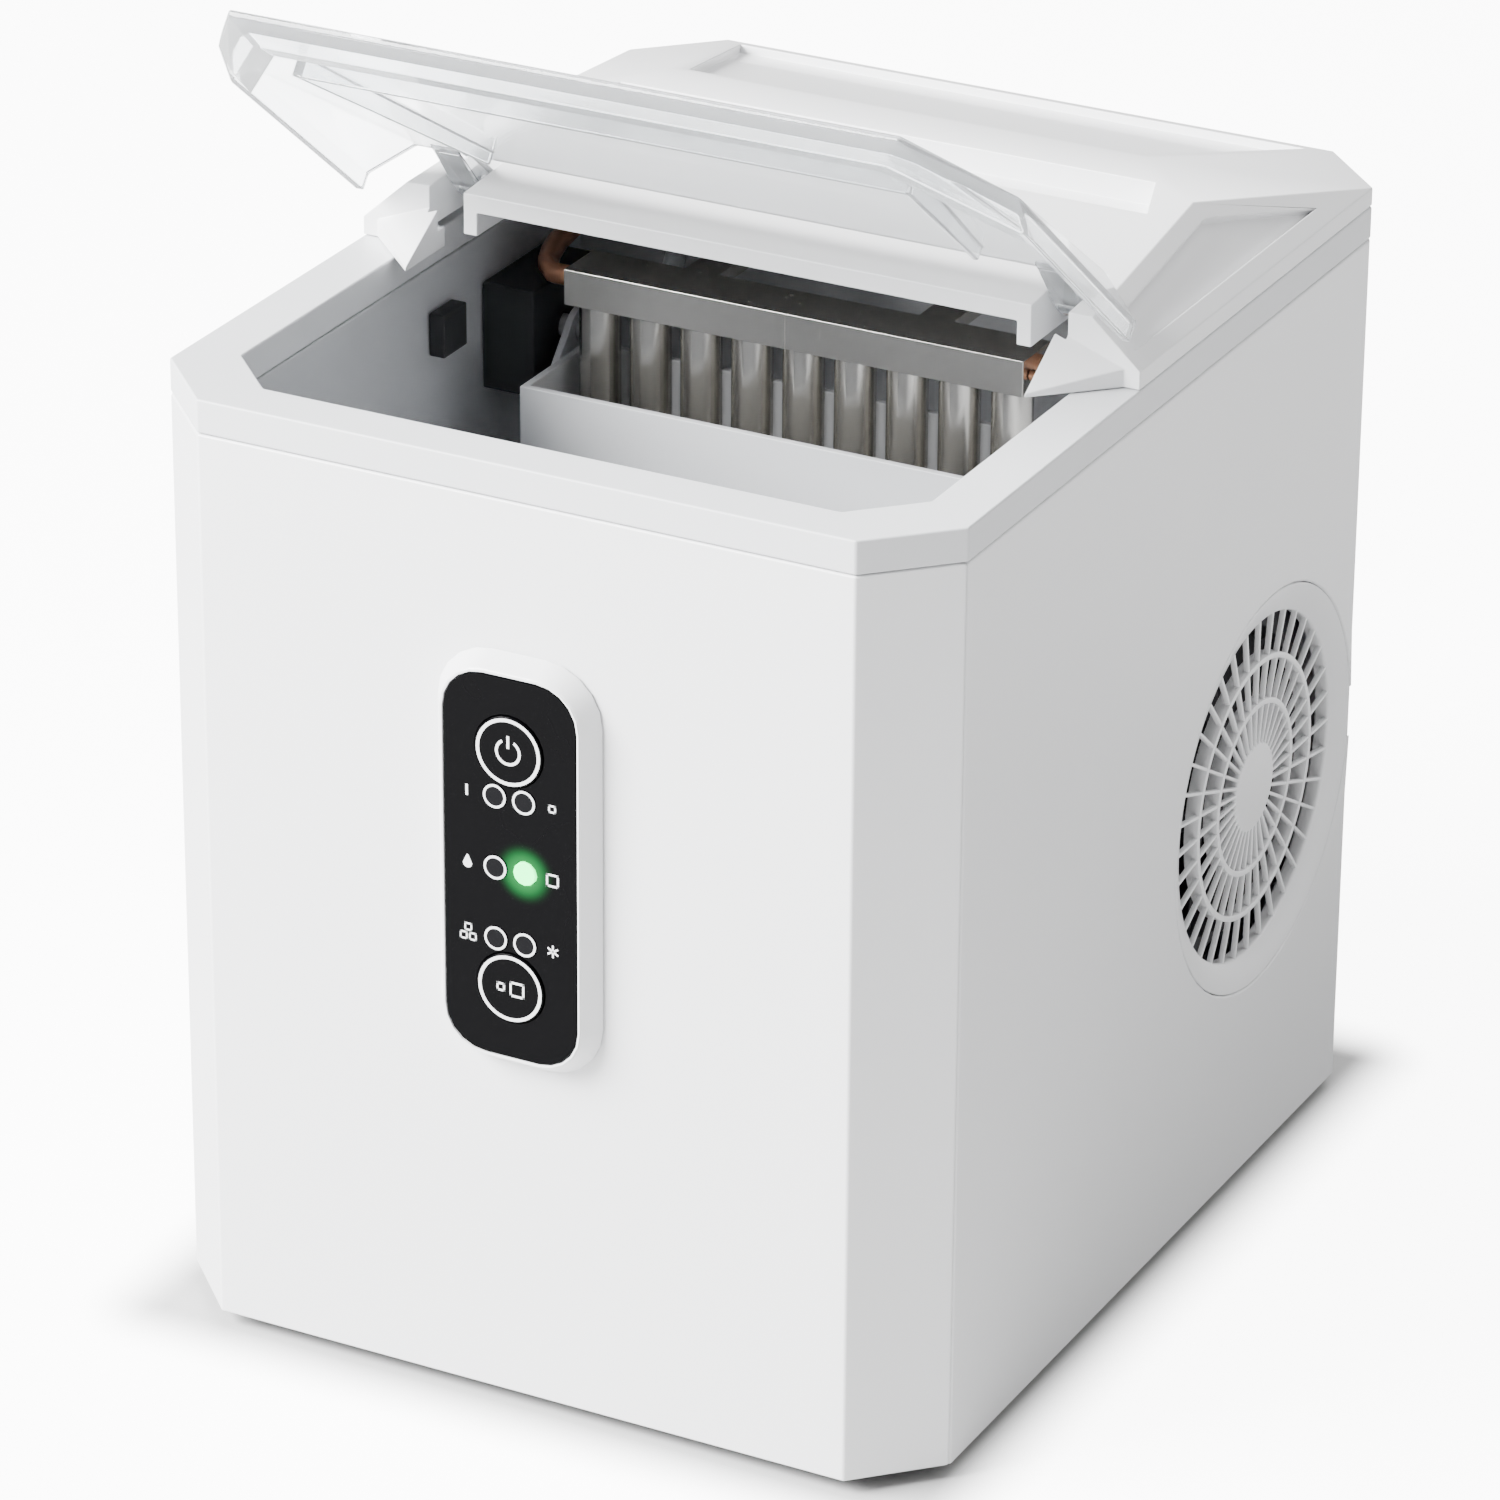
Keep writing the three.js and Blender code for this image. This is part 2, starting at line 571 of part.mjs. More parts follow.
function makeRearCover() {
  const [x, back] = [HALF_W, BODY_D];
  const ridge = back - RIDGE_BACK;
  const shoulder = ridge - CORNER;
  const half = roofHalfW(shoulder);
  const sideFacet = (s) => [
    [s * x, COVER_FRONT, EAVE_Z], [s * x, back - CORNER, EAVE_Z],
    [s * half, shoulder, roofZ(shoulder)], [s * roofHalfW(COVER_FRONT), COVER_FRONT, roofZ(COVER_FRONT)],
  ];
  const nose = roofHalfW(ridge) - CORNER;
  const rearFacet = [
    [-x + CORNER, back, EAVE_Z], [x - CORNER, back, EAVE_Z],
    [nose, ridge, roofZ(ridge)], [-nose, ridge, roofZ(ridge)],
  ];
  const outward = (facet) => {
    const [a, b, c] = facet.map((p) => new THREE.Vector3(...p));
    return b.clone().sub(a).cross(c.clone().sub(a)).z > 0 ? facet : [...facet].reverse();
  };
  const sunk = [sideFacet(1), sideFacet(-1), rearFacet].map((f) => sunkPanel(outward(f), SUNK_BORDER, SUNK));

  const troughTop = roofZ(TROUGH_Y) + 2;
  const troughFloor = roofZ(TROUGH_Y) - TROUGH_H;
  const troughPlan = (grow) => {
    const [front, rear] = [TROUGH_Y - TROUGH_D / 2 - grow, TROUGH_Y + TROUGH_D / 2 + grow];
    const [wide, narrow] = [TROUGH_HALF_W + grow, TROUGH_HALF_W + grow - TROUGH_TAPER];
    return [[-wide, front], [wide, front], [narrow, rear], [-narrow, rear]];
  };
  const troughBacking = prismZ(troughPlan(WALL), troughFloor - WALL, troughFloor + TROUGH_H - 1);
  const trough = prismZ(troughPlan(0), troughFloor, troughTop);

  const throat = box(-THROAT_HALF_W, THROAT_HALF_W, COVER_FRONT - 1, COVER_FRONT + WALL + 1,
    COVER_Z - 1, roofZ(COVER_FRONT) - COVER_T);
  const outside = hull(coverCorners());
  const inside = hollowOf(coverCorners(), (normal) => {
    if (normal.z < -0.9) return -1;
    return normal.z > 0.3 ? COVER_T : WALL;
  });
  const lugs = [-1, 1].flatMap((s) => [-1, 1].map((side) => {
    const near = s * ARM_X + side * (ARM_W / 2 + 1);
    const far = near + side * LUG_W;
    const [x0, x1] = [Math.min(near, far), Math.max(near, far)];
    return box(x0, x1, COVER_FRONT, HINGE_Y + 7, HINGE_Z - 7, roofZ(HINGE_Y) - 2);
  }));
  const armSlots = [-1, 1].map((s) => box(s * ARM_X - ARM_W / 2 - 1, s * ARM_X + ARM_W / 2 + 1,
    COVER_FRONT - 1, HINGE_Y + ARM_R + 2, HINGE_Z - ARM_R - 3, roofZ(HINGE_Y) + 9));
  const pinHalfL = ARM_W / 2 + LUG_W;
  const pinHoles = [-1, 1].map((s) => rodX(HINGE_Y, HINGE_Z, PIN_R + PIN_CLEARANCE, s * ARM_X - pinHalfL - 0.5,
    s * ARM_X + pinHalfL + 0.5, 16));
  const shell = cut(join(cut(outside, inside), cheek(-1), cheek(1)), throat);
  const body = join(shell, troughBacking.intersect(outside), ...lugs.map((lug) => lug.intersect(outside)));
  piece("rear_top_cover", cut(body, ...armSlots, ...pinHoles, ...sunk, trough), WHITE);

  for (const [s, name] of [[-1, "left"], [1, "right"]]) {
    const pin = rodX(HINGE_Y, HINGE_Z, PIN_R, s * ARM_X - pinHalfL, s * ARM_X + pinHalfL, 16);
    piece(`hinge_pin_${name}`, pin, STEEL);
  }
}

// ---------------------------------------------------------------- lid

function makeLid() {
  const half = HALF_W - LID_INSET;
  const [foot, eave] = [COVER_Z, COVER_Z + LID_SIDE_H];
  const noseHalf = HALF_W - CORNER;
  const corners = mirrored([
    [half - LID_FOOT_CORNER, LID_FOOT, foot], [half, LID_FOOT + LID_FOOT_RUN, foot], [half, LID_D, foot],
    [noseHalf, -LID_OVERHANG, eave], [noseHalf, -LID_OVERHANG, eave - LID_NOSE_T],
    [half, LID_RUN - LID_OVERHANG, eave], [half, LID_D, eave], [roofHalfW(LID_D), LID_D, roofZ(LID_D)],
  ]);
  const outside = hull(corners);
  const shell = cut(outside, hollowOf(corners, (normal) => (normal.z < -0.95 || normal.y > 0.95 ? -1 : LID_T)));

  const lipBack = LID_D - LIP_REAR;
  const lipPlan = (inset) => [
    [-LIP_FRONT_HALF_W + inset, LIP_FRONT + inset], [LIP_FRONT_HALF_W - inset, LIP_FRONT + inset],
    [LIP_REAR_HALF_W - inset, lipBack], [-LIP_REAR_HALF_W + inset, lipBack],
  ];
  const roof = roofZ(LID_D);
  const underLip = [
    [LIP_FRONT - 9, foot - 9], [lipBack + 9, foot - 9],
    [lipBack + 9, foot + LIP_RISE * (lipBack + 9 - LIP_FRONT)], [LIP_FRONT, foot], [LIP_FRONT - 9, foot],
  ];
  const rearHalf = LIP_REAR_HALF_W - LIP_T;
  const insideLip = [...lipPlan(LIP_T).slice(0, 2), [rearHalf, lipBack + 1], [-rearHalf, lipBack + 1]];
  const lip = cut(
    prismZ(lipPlan(0), foot - 1, roof).intersect(outside),
    prismZ(insideLip, foot - 2, roof + 1),
    prismX(underLip, -HALF_W, HALF_W),
  );
  const arm = (s) => prismX([
    [LID_D - 6, roof - 1.5], [LID_D - 6, roof - LID_T - 1], [HINGE_Y - ARM_R, HINGE_Z - ARM_R],
    ...arc(HINGE_Y, HINGE_Z, ARM_R, -90, 90, 8), [LID_D, roof - 0.3],
  ], s * ARM_X - ARM_W / 2, s * ARM_X + ARM_W / 2);
  const bore = rodX(HINGE_Y, HINGE_Z, PIN_R + GAP, -HALF_W, HALF_W, 16);
  const closed = cut(join(shell, lip, arm(-1), arm(1)), bore);

  const hinge = new THREE.Group();
  hinge.position.set(0, HINGE_Y, HINGE_Z);
  hinge.rotation.x = -THREE.MathUtils.degToRad(LID_OPEN_DEG);
  machine.add(hinge);
  const lid = piece("lid", closed, CLEAR, hinge);
  lid.position.set(0, -HINGE_Y, -HINGE_Z);
}

// ---------------------------------------------------------------- control panel

function makeControls() {
  const grown = (by) => roundedRect(0, PANEL_Z, FACE_W + 2 * by, FACE_H + 2 * by, FACE_R + by);
  const base = grown(BEZEL_RIM + BEZEL_FLARE);
  const crown = grown(BEZEL_RIM);
  const flared = hull([...base.map(([x, z]) => [x, -GAP, z]), ...crown.map(([x, z]) => [x, -BEZEL_H, z])]);
  const skirt = roundedRect(0, PANEL_Z, FACE_W - 3 - 2 * GAP, FACE_H - 3 - 2 * GAP, FACE_R - 2 - GAP);
  const window = roundedRect(0, PANEL_Z, FACE_W - 6, FACE_H - 6, FACE_R - 3);
  const seat = roundedRect(0, PANEL_Z, FACE_W + 2 * GAP, FACE_H + 2 * GAP, FACE_R + GAP);
  const bezel = cut(
    join(flared, prismY(skirt, -1, WALL + 1)),
    prismY(window, -BEZEL_H - 1, WALL + 2),
    prismY(seat, -BEZEL_H - 1, -BEZEL_H + FACE_T + GAP),
  );
  piece("control_bezel", bezel, WHITE);

  const buttons = [["power_button", PANEL_Z + BUTTON_OFFSET], ["select_button", PANEL_Z - BUTTON_OFFSET]];
  const lamps = [
    ["lamp_power", -1, 1], ["lamp_small_ice", 1, 1], ["lamp_add_water", -1, 0],
    ["lamp_large_ice", 1, 0], ["lamp_ice_full", -1, -1], ["lamp_clean", 1, -1],
  ];
  const face = cut(
    prismY(roundedRect(0, PANEL_Z, FACE_W, FACE_H, FACE_R), -BEZEL_H, -BEZEL_H + FACE_T),
    ...buttons.map(([, z]) => rodY(0, z, BUTTON_R + GAP, -BEZEL_H - 1, 0, 24)),
    ...lamps.map(([, sx, row]) => rodY(sx * LAMP_X, PANEL_Z + row * LAMP_ROW, LAMP_R + GAP,
      -BEZEL_H - 1, 0, 12)),
  );
  piece("control_faceplate", face, BLACK);

  const faceBack = -BEZEL_H + FACE_T;
  const switchFront = BOARD_Y - 1.6;
  for (const [name, z] of buttons) {
    const cap = rodY(0, z, BUTTON_R, -BEZEL_H - BUTTON_PROUD, faceBack + GAP + 0.1, 24);
    const flange = rodY(0, z, BUTTON_R + 1.5, faceBack + GAP, faceBack + GAP + 1.2, 24);
    const stem = rodY(0, z, 3, faceBack + GAP, switchFront - BUTTON_TRAVEL - 0.2, 12);
    piece(name, join(cap, flange, stem), BLACK);
  }
  for (const [name, sx, row] of lamps) {
    const lens = rodY(sx * LAMP_X, PANEL_Z + row * LAMP_ROW, LAMP_R, -BEZEL_H - 0.2, faceBack, 12);
    piece(name, lens, name === "lamp_large_ice" ? LAMP_ON : LAMP_OFF);
  }
  const switches = buttons.map(([, z]) => rodY(0, z, 3, switchFront, BOARD_Y + 0.1, 12));
  const board = box(-15, 15, BOARD_Y, BOARD_Y + 1.6, PANEL_Z - 46, PANEL_Z + 46);
  piece("control_board", join(board, ...switches), BOARD);
}

// ---------------------------------------------------------------- tub and basket

function makeTub() {
  const t = TUB_T;
  const sill = SILL_Z;
  const heel = SILL_Z + CHAMBER_FALL;
  const inside = [
    [OPENING_FRONT, TUB_FLOOR], [BIN_BACK, TUB_FLOOR], [BIN_BACK, sill], [CHAMBER_BACK, heel],
    [CHAMBER_BACK, SHELL_TOP + 9], [OPENING_FRONT, SHELL_TOP + 9],
  ];
  const outside = [
    [OPENING_FRONT - t, TUB_FLOOR - t], [BIN_BACK + t, TUB_FLOOR - t], [BIN_BACK + t, sill - t],
    [CHAMBER_BACK + t, heel - t], [CHAMBER_BACK + t, SHELL_TOP], [OPENING_FRONT - t, SHELL_TOP],
  ];
  const wide = OPENING_HALF_W;
  const innerPlan = frontChamfered(wide, OPENING_FRONT, CHAMBER_BACK, OPENING_CORNER);
  const outerPlan = frontChamfered(wide + t, OPENING_FRONT - t, CHAMBER_BACK + t, OPENING_CORNER + t * 0.586);
  const flangePlan = frontChamfered(wide + 8, OPENING_FRONT - 6, CHAMBER_BACK + 8, OPENING_CORNER + 3);
  const hollow = prismX(inside, -wide, wide).intersect(prismZ(innerPlan, 0, SHELL_TOP + 9));
  const body = prismX(outside, -wide - t, wide + t).intersect(prismZ(outerPlan, 0, SHELL_TOP));
  const flange = prismZ(flangePlan, SHELL_TOP - 2.5, SHELL_TOP);
  const ledges = [-1, 1].map((s) => box(
    Math.min(s * (wide - 6), s * (wide + 1)), Math.max(s * (wide - 6), s * (wide + 1)),
    OPENING_FRONT + 20, BIN_BACK - 6, BASKET_FLOOR - 8, BASKET_FLOOR - GAP,
  ));
  const notches = [-1, 1].map((s) => box(
    Math.min(s * NOTCH_INNER, s * NOTCH_OUTER), Math.max(s * NOTCH_INNER, s * NOTCH_OUTER),
    CHAMBER_BACK - 1, CHAMBER_BACK + 9, BAR_Z - 2, SHELL_TOP + 1,
  ));
  const tub = cut(
    join(cut(join(body, flange), hollow), ...ledges),
    ...notches,
    rodX(AXLE_Y, AXLE_Z, AXLE_R + GAP, wide - 1, wide + t + 1, 20),
    rodY(DRAIN_X, DRAIN_Z, DRAIN_R - 1.5, BIN_BACK - 1, BIN_BACK + t + 1, 20),
    rodY(PUMP_X, TUB_FLOOR + 9, 4, BIN_BACK - 1, BIN_BACK + t + 1, 16),
  );
  piece("inner_tub", tub, GREY);
}

function makeBasket() {
  const [g, t] = [BASKET_GAP, BASKET_T];
  const half = OPENING_HALF_W - g;
  const [front, back] = [OPENING_FRONT + g, BIN_BACK - g];
  const outside = [[front, BASKET_FLOOR], [back, BASKET_FLOOR], [back, BASKET_REAR_TOP],
    [front + BASKET_BACK_RUN, BASKET_FRONT_TOP],
    [front, BASKET_FRONT_TOP]];
  const c = OPENING_CORNER - 1;
  const outerPlan = frontChamfered(half, front, back, c);
  const innerPlan = frontChamfered(half - t, front + t, back - t, c - t * 0.586);
  const body = prismX(outside, -half, half).intersect(prismZ(outerPlan, 0, BASKET_FRONT_TOP));
  const hollow = prismZ(innerPlan, BASKET_FLOOR + t, BASKET_FRONT_TOP + 1);
  const slotX = (i) => (i - (BASKET_SLOTS - 1) / 2) * BASKET_PITCH;
  const floorSlots = Array.from({ length: BASKET_SLOTS }, (_, i) => box(slotX(i) - BASKET_SLOT_W / 2,
    slotX(i) + BASKET_SLOT_W / 2, front + 13, back - 13, BASKET_FLOOR - 1, BASKET_FLOOR + t + 1));
  piece("ice_basket", cut(body, hollow, ...floorSlots), PALE_GREY);
}

// ---------------------------------------------------------------- freezing unit

function makeFreezer() {
  const fingers = Array.from({ length: FINGERS }, (_, i) => {
    const x = (i - (FINGERS - 1) / 2) * FINGER_PITCH;
    const tip = arc(0, FINGER_TIP + FINGER_R, FINGER_R, -90, 0, 3);
    return solid(turned([...tip, [FINGER_R, BAR_Z + 1], [0, BAR_Z + 1]], x, FINGER_Y, 12));
  });
  const barBack = FINGER_Y + BAR_D / 2;
  const hangers = [HANGER_END - BAR_HALF_L, BAR_HALF_L - HANGER_END].map((x) => box(x - 5, x + 5, barBack - 1, CHAMBER_BACK - GAP, BAR_Z + BAR_H - 4,
    BAR_Z + BAR_H));
  const bar = box(-BAR_HALF_L, BAR_HALF_L, FINGER_Y - BAR_D / 2, barBack, BAR_Z, BAR_Z + BAR_H);
  piece("evaporator", join(bar, ...fingers, ...hangers), NICKEL);

  const trough = (inset) => [
    [TRAY_FRONT + inset, TRAY_RIM + inset * 4],
    ...arc(TRAY_FRONT + TRAY_CORNER, TRAY_BOTTOM + TRAY_CORNER, TRAY_CORNER - inset, 180, 270, 5),
    ...arc(TRAY_BACK - TRAY_CORNER / 2, TRAY_BOTTOM + TRAY_CORNER / 2, TRAY_CORNER / 2 - inset, 270, 360, 4),
    [TRAY_BACK - inset, TRAY_RIM + inset * 4],
  ];
  const ear = (s) => {
    const [x0, x1] = s < 0 ? [-TRAY_HALF_L, -TRAY_HALF_L + TRAY_T] : [TRAY_HALF_L - TRAY_T, TRAY_HALF_L];
    return prismX([[AXLE_Y - 14, AXLE_Z - 12], ...arc(AXLE_Y, AXLE_Z, AXLE_R + 2, -80, 120, 8)], x0, x1);
  };
  const stub = (x0, x1) => rodX(AXLE_Y, AXLE_Z, AXLE_R, x0, x1, 20);
  const tray = join(
    cut(
      prismX(trough(0), -TRAY_HALF_L, TRAY_HALF_L),
      prismX(trough(TRAY_T), -TRAY_HALF_L + TRAY_T, TRAY_HALF_L - TRAY_T),
    ),
    ear(-1),
    ear(1),
    stub(-OPENING_HALF_W + 6, -TRAY_HALF_L + 0.5),
    stub(TRAY_HALF_L - 0.5, OPENING_HALF_W + TUB_T + 1),
  );
  piece("water_tray", tray, GREY);

  const motor = cut(
    box(-OPENING_HALF_W + GAP, -TRAY_HALF_L - 8, AXLE_Y - MOTOR_D / 2, AXLE_Y + MOTOR_D / 2,
      AXLE_Z - MOTOR_H / 2, AXLE_Z + MOTOR_H / 2),
    rodX(AXLE_Y, AXLE_Z, AXLE_R + GAP, -OPENING_HALF_W + 5, -TRAY_HALF_L, 20),
  );
  piece("tray_motor", motor, DARK);

  const armX = TRAY_HALF_L + 3;
  const blade = [
    ...arc(AXLE_Y, AXLE_Z, SHOVEL_R, SHOVEL_FROM_DEG, SHOVEL_TO_DEG, 6),
    ...arc(AXLE_Y, AXLE_Z, SHOVEL_R + SHOVEL_T, SHOVEL_TO_DEG, SHOVEL_FROM_DEG, 6),
  ];
  const mid = (SHOVEL_FROM_DEG + SHOVEL_TO_DEG) / 2;
  const armOutline = [
    ...arc(AXLE_Y, AXLE_Z, SHOVEL_R + SHOVEL_T / 2, mid - 8, mid + 8, 2),
    ...arc(AXLE_Y, AXLE_Z, AXLE_R + 3, mid + 90, mid + 270, 8),
  ];
  const arms = [-1, 1].map((s) => prismX(armOutline, s < 0 ? -armX - 2 : armX, s < 0 ? -armX : armX + 2));
  const shovel = cut(
    join(prismX(blade, -armX - 2, armX + 2), ...arms),
    rodX(AXLE_Y, AXLE_Z, AXLE_R + GAP, -armX - 3, armX + 3, 20),
    ...Array.from({ length: 8 }, (_, i) => {
      const x = (i - 3.5) * FINGER_PITCH;
      const [y, z] = arc(AXLE_Y, AXLE_Z, SHOVEL_R, SHOVEL_FROM_DEG, SHOVEL_FROM_DEG, 1)[0];
      return box(x - 2.5, x + 2.5, y - 5, y + 9, z - 12, z + 5);
    }),
  );
  piece("ice_shovel", shovel, PALE_GREY);

  for (const [s, name] of [[-1, "left"], [1, "right"]]) {
    const wall = s * (OPENING_HALF_W - GAP);
    const eye = s * (OPENING_HALF_W - 5);
    piece(`ice_level_sensor_${name}`, box(Math.min(wall, eye), Math.max(wall, eye), BIN_BACK + 4, BIN_BACK + 16,
      AXLE_Z + 4, AXLE_Z + 16), DARK);
  }
}

// ---------------------------------------------------------------- fan

function makeFan() {
  const face = HALF_W;
  const floor = HALF_W - GRILLE_DISH;
  const dish = solid(new THREE.CylinderGeometry(GRILLE_R, GRILLE_HOLE_R, GRILLE_DISH, 48).rotateZ(-Math.PI / 2)
    .translate(face - GRILLE_DISH / 2, FAN_Y, FAN_Z));
  const slab = rodX(FAN_Y, FAN_Z, GRILLE_R, floor - GRILLE_T, face, 48);
  const bore = rodX(FAN_Y, FAN_Z, GRILLE_HOLE_R, floor - GRILLE_T - 1, face, 48);
  const ring = (r) => cut(rodX(FAN_Y, FAN_Z, r + 0.8, floor - GRILLE_T, floor, 24),
    rodX(FAN_Y, FAN_Z, r - 0.8, floor - GRILLE_T - 1, floor + 1, 24));
  const vanes = Array.from({ length: VANES }, (_, i) => {
    const angle = (i * 2 * Math.PI) / VANES;
    const length = GRILLE_HOLE_R + 1 - GRILLE_HUB_R + 2;
    return solid(new THREE.BoxGeometry(GRILLE_T, length, 1.1)
      .translate(floor - GRILLE_T / 2, GRILLE_HUB_R - 2 + length / 2, 0)
      .rotateX(angle).translate(0, FAN_Y, FAN_Z));
  });
  const hub = rodX(FAN_Y, FAN_Z, GRILLE_HUB_R, floor - GRILLE_T, floor, 24);
  const frame = cut(slab, dish, bore);
  piece("fan_grille", join(frame, hub, ...GRILLE_RINGS.map(ring), ...vanes), WHITE);

  const x1 = floor - GRILLE_T - FAN_GAP;
  const x0 = x1 - FAN_T;
  const outer = roundedRect(FAN_Y, FAN_Z, FAN_SIZE, FAN_SIZE, 5, 3);
  const strut = (turn) => solid(new THREE.BoxGeometry(3, FAN_SIZE - 2, 5)
    .translate(x0 + 1.5, 0, 0)
    .rotateX(turn)
    .translate(0, FAN_Y, FAN_Z));
  const housing = join(
    cut(prismX(outer, x0, x1), rodX(FAN_Y, FAN_Z, ROTOR_R + 1.5, x0 - 1, x1 + 1, 40)),
    strut(0),
    strut(Math.PI / 2),
    rodX(FAN_Y, FAN_Z, 15, x0, x0 + 3, 24),
  );
  piece("fan_housing", housing, DARK);

  const motorFront = x0 + 3 + GAP;
  piece("fan_motor", cut(rodX(FAN_Y, FAN_Z, 13, motorFront, x1 - 6, 24),
    rodX(FAN_Y, FAN_Z, 1.8, motorFront + 4, x1, 12)), STEEL);

  const cup = join(
    cut(rodX(FAN_Y, FAN_Z, 16, motorFront + 2, x1 - 2, 28), rodX(FAN_Y, FAN_Z, 14, motorFront, x1 - 4, 28)),
    rodX(FAN_Y, FAN_Z, 1.5, motorFront + 6, x1 - 3, 12),
  );
  const blades = Array.from({ length: BLADES }, (_, i) => {
    const span = ROTOR_R - 15;
    return solid(new THREE.BoxGeometry(17, span, 1.5).rotateY(0.65)
      .translate((motorFront + x1) / 2, 15 + span / 2, 0)
      .rotateX((i * 2 * Math.PI) / BLADES).translate(0, FAN_Y, FAN_Z));
  });
  piece("fan_rotor", join(cup, ...blades), DARK);
}

// ---------------------------------------------------------------- cooling unit

function makeCooling() {
  const [cx, cy, r] = [COMPRESSOR_X, COMPRESSOR_Y, COMPRESSOR_R];
  const foot = PAN_TOP + GAP;
  const top = foot + 4 + COMPRESSOR_H;
  const weld = (foot + top) / 2;
  const can = solid(turned([
    [0, foot + 3], [r - 14, foot + 3], ...arc(r - 14, foot + 15, 12, -80, 0, 4),
    [r - 2, weld - 3], [r, weld - 3],
    [r, weld + 3], [r - 2, weld + 3], ...arc(r - 20, top - 18, 18, 0, 80, 5), [0, top],
  ], cx, cy, 24));
  const plate = prismZ(roundedRect(cx, cy, 2 * r - 4, 74, 8, 3), foot + 2, foot + 5);
  const leg = (a, b) => rodZ(cx + a * (r - 11), cy + b * 28, 6, foot, foot + 3, 16);
  const legs = [-1, 1].flatMap((a) => [leg(a, -1), leg(a, 1)]);
  piece("compressor", join(can, plate, ...legs), PAINTED);

  const [x0, x1] = [CONDENSER_X - CONDENSER_W / 2, CONDENSER_X + CONDENSER_W / 2];
  const [y0, y1] = [FAN_Y - CONDENSER_D / 2, FAN_Y + CONDENSER_D / 2];
  const z0 = FAN_Z - CONDENSER_H / 2;
  const fins = Array.from({ length: FINS }, (_, i) => {
    const z = z0 + (i * (CONDENSER_H - FIN_T)) / (FINS - 1);
    return box(x0, x1, y0, y1, z, z + FIN_T);
  });
  const pipes = [-1, 0, 1].map((k) => rodZ(CONDENSER_X, FAN_Y + k * 28, 4, z0 - 5, z0 + CONDENSER_H + 5, 8));
  piece("condenser", join(...fins, ...pipes), ALUMINIUM);

  const drierZ = [58, 122];
  const drier = [
    [0, drierZ[0]], [2, drierZ[0]], [DRIER_R, drierZ[0] + 8],
    [DRIER_R, drierZ[1] - 8], [2, drierZ[1]], [0, drierZ[1]],
  ];
  piece("filter_drier", turned(drier, DRIER_X, DRIER_Y, 16), COPPER);

  const valve = join(
    rodZ(VALVE_X, VALVE_Y, 5, VALVE_Z - 18, VALVE_Z + 20, 16),
    prismZ(roundedRect(VALVE_X, VALVE_Y, 24, 20, 3, 2), VALVE_Z - 10, VALVE_Z + 12),
  );
  piece("hot_gas_valve", valve, DARK);

  const pipeTop = z0 + CONDENSER_H + 5 + GAP;
  const [pipeFront, pipeBack] = [FAN_Y - 28, FAN_Y + 28];
  const canTop = (dx, dy) => [cx + dx, cy + dy, top + GAP];
  const barEnd = BAR_HALF_L + GAP;
  const barMid = BAR_Z + BAR_H / 2;
  const overWall = barMid + 1;
  const inNotch = (fromSide) => OPENING_HALF_W - fromSide;

  piece("discharge_tube", tube([
    canTop(14, 16), [cx + 14, cy + 16, top + 14], [cx + 38, pipeBack - 4, top + 40],
    [CONDENSER_X - 14, pipeBack, pipeTop + 12], [CONDENSER_X, pipeBack, pipeTop + 9],
    [CONDENSER_X, pipeBack, pipeTop],
  ], 3, 22), COPPER);
  piece("liquid_tube", tube([
    [CONDENSER_X, pipeFront, z0 - 5 - GAP], [CONDENSER_X, pipeFront, z0 - 13],
    [CONDENSER_X - 8, pipeFront + 24, z0 - 24], [DRIER_X + 4, DRIER_Y - 6, drierZ[0] - 14],
    [DRIER_X, DRIER_Y, drierZ[0] - 8], [DRIER_X, DRIER_Y, drierZ[0] - GAP],
  ], 2, 22), COPPER);
  piece("capillary_tube", tube([
    [DRIER_X, DRIER_Y, drierZ[1] + GAP], [DRIER_X, DRIER_Y, drierZ[1] + 30], [DRIER_X + 20, DRIER_Y - 10, 210],
    [inNotch(24), CHAMBER_BACK + 22, overWall - 6], [inNotch(20), CHAMBER_BACK, overWall],
    [inNotch(16), FINGER_Y + 20, overWall],
    [barEnd + 10, FINGER_Y - 4, barMid], [barEnd, FINGER_Y - 4, barMid],
  ], 1.5, 28), COPPER);
  piece("suction_tube", tube([
    [-barEnd, FINGER_Y, barMid], [-barEnd - 8, FINGER_Y, barMid], [-inNotch(14), FINGER_Y + 16, overWall],
    [-inNotch(12), CHAMBER_BACK, overWall], [-inNotch(12), CHAMBER_BACK + 22, overWall - 8],
    [-inNotch(12), CHAMBER_BACK + 26, 180],
    [cx - 26, cy + 22, top + 24], [cx - 24, cy + 16, top + 12], canTop(-24, 14),
  ], 3, 32), COPPER);
  piece("hot_gas_tube", tube([
    [VALVE_X, VALVE_Y, VALVE_Z + 20 + GAP], [VALVE_X, VALVE_Y, VALVE_Z + 40], [VALVE_X + 20, VALVE_Y - 14, 226],
    [inNotch(38), CHAMBER_BACK + 20, overWall - 4], [inNotch(30), CHAMBER_BACK, overWall],
    [inNotch(22), FINGER_Y + 22, overWall],
    [barEnd + 6, FINGER_Y + 4, barMid], [barEnd, FINGER_Y + 4, barMid],
  ], 2.5, 28), COPPER);
}

// ---------------------------------------------------------------- water circuit

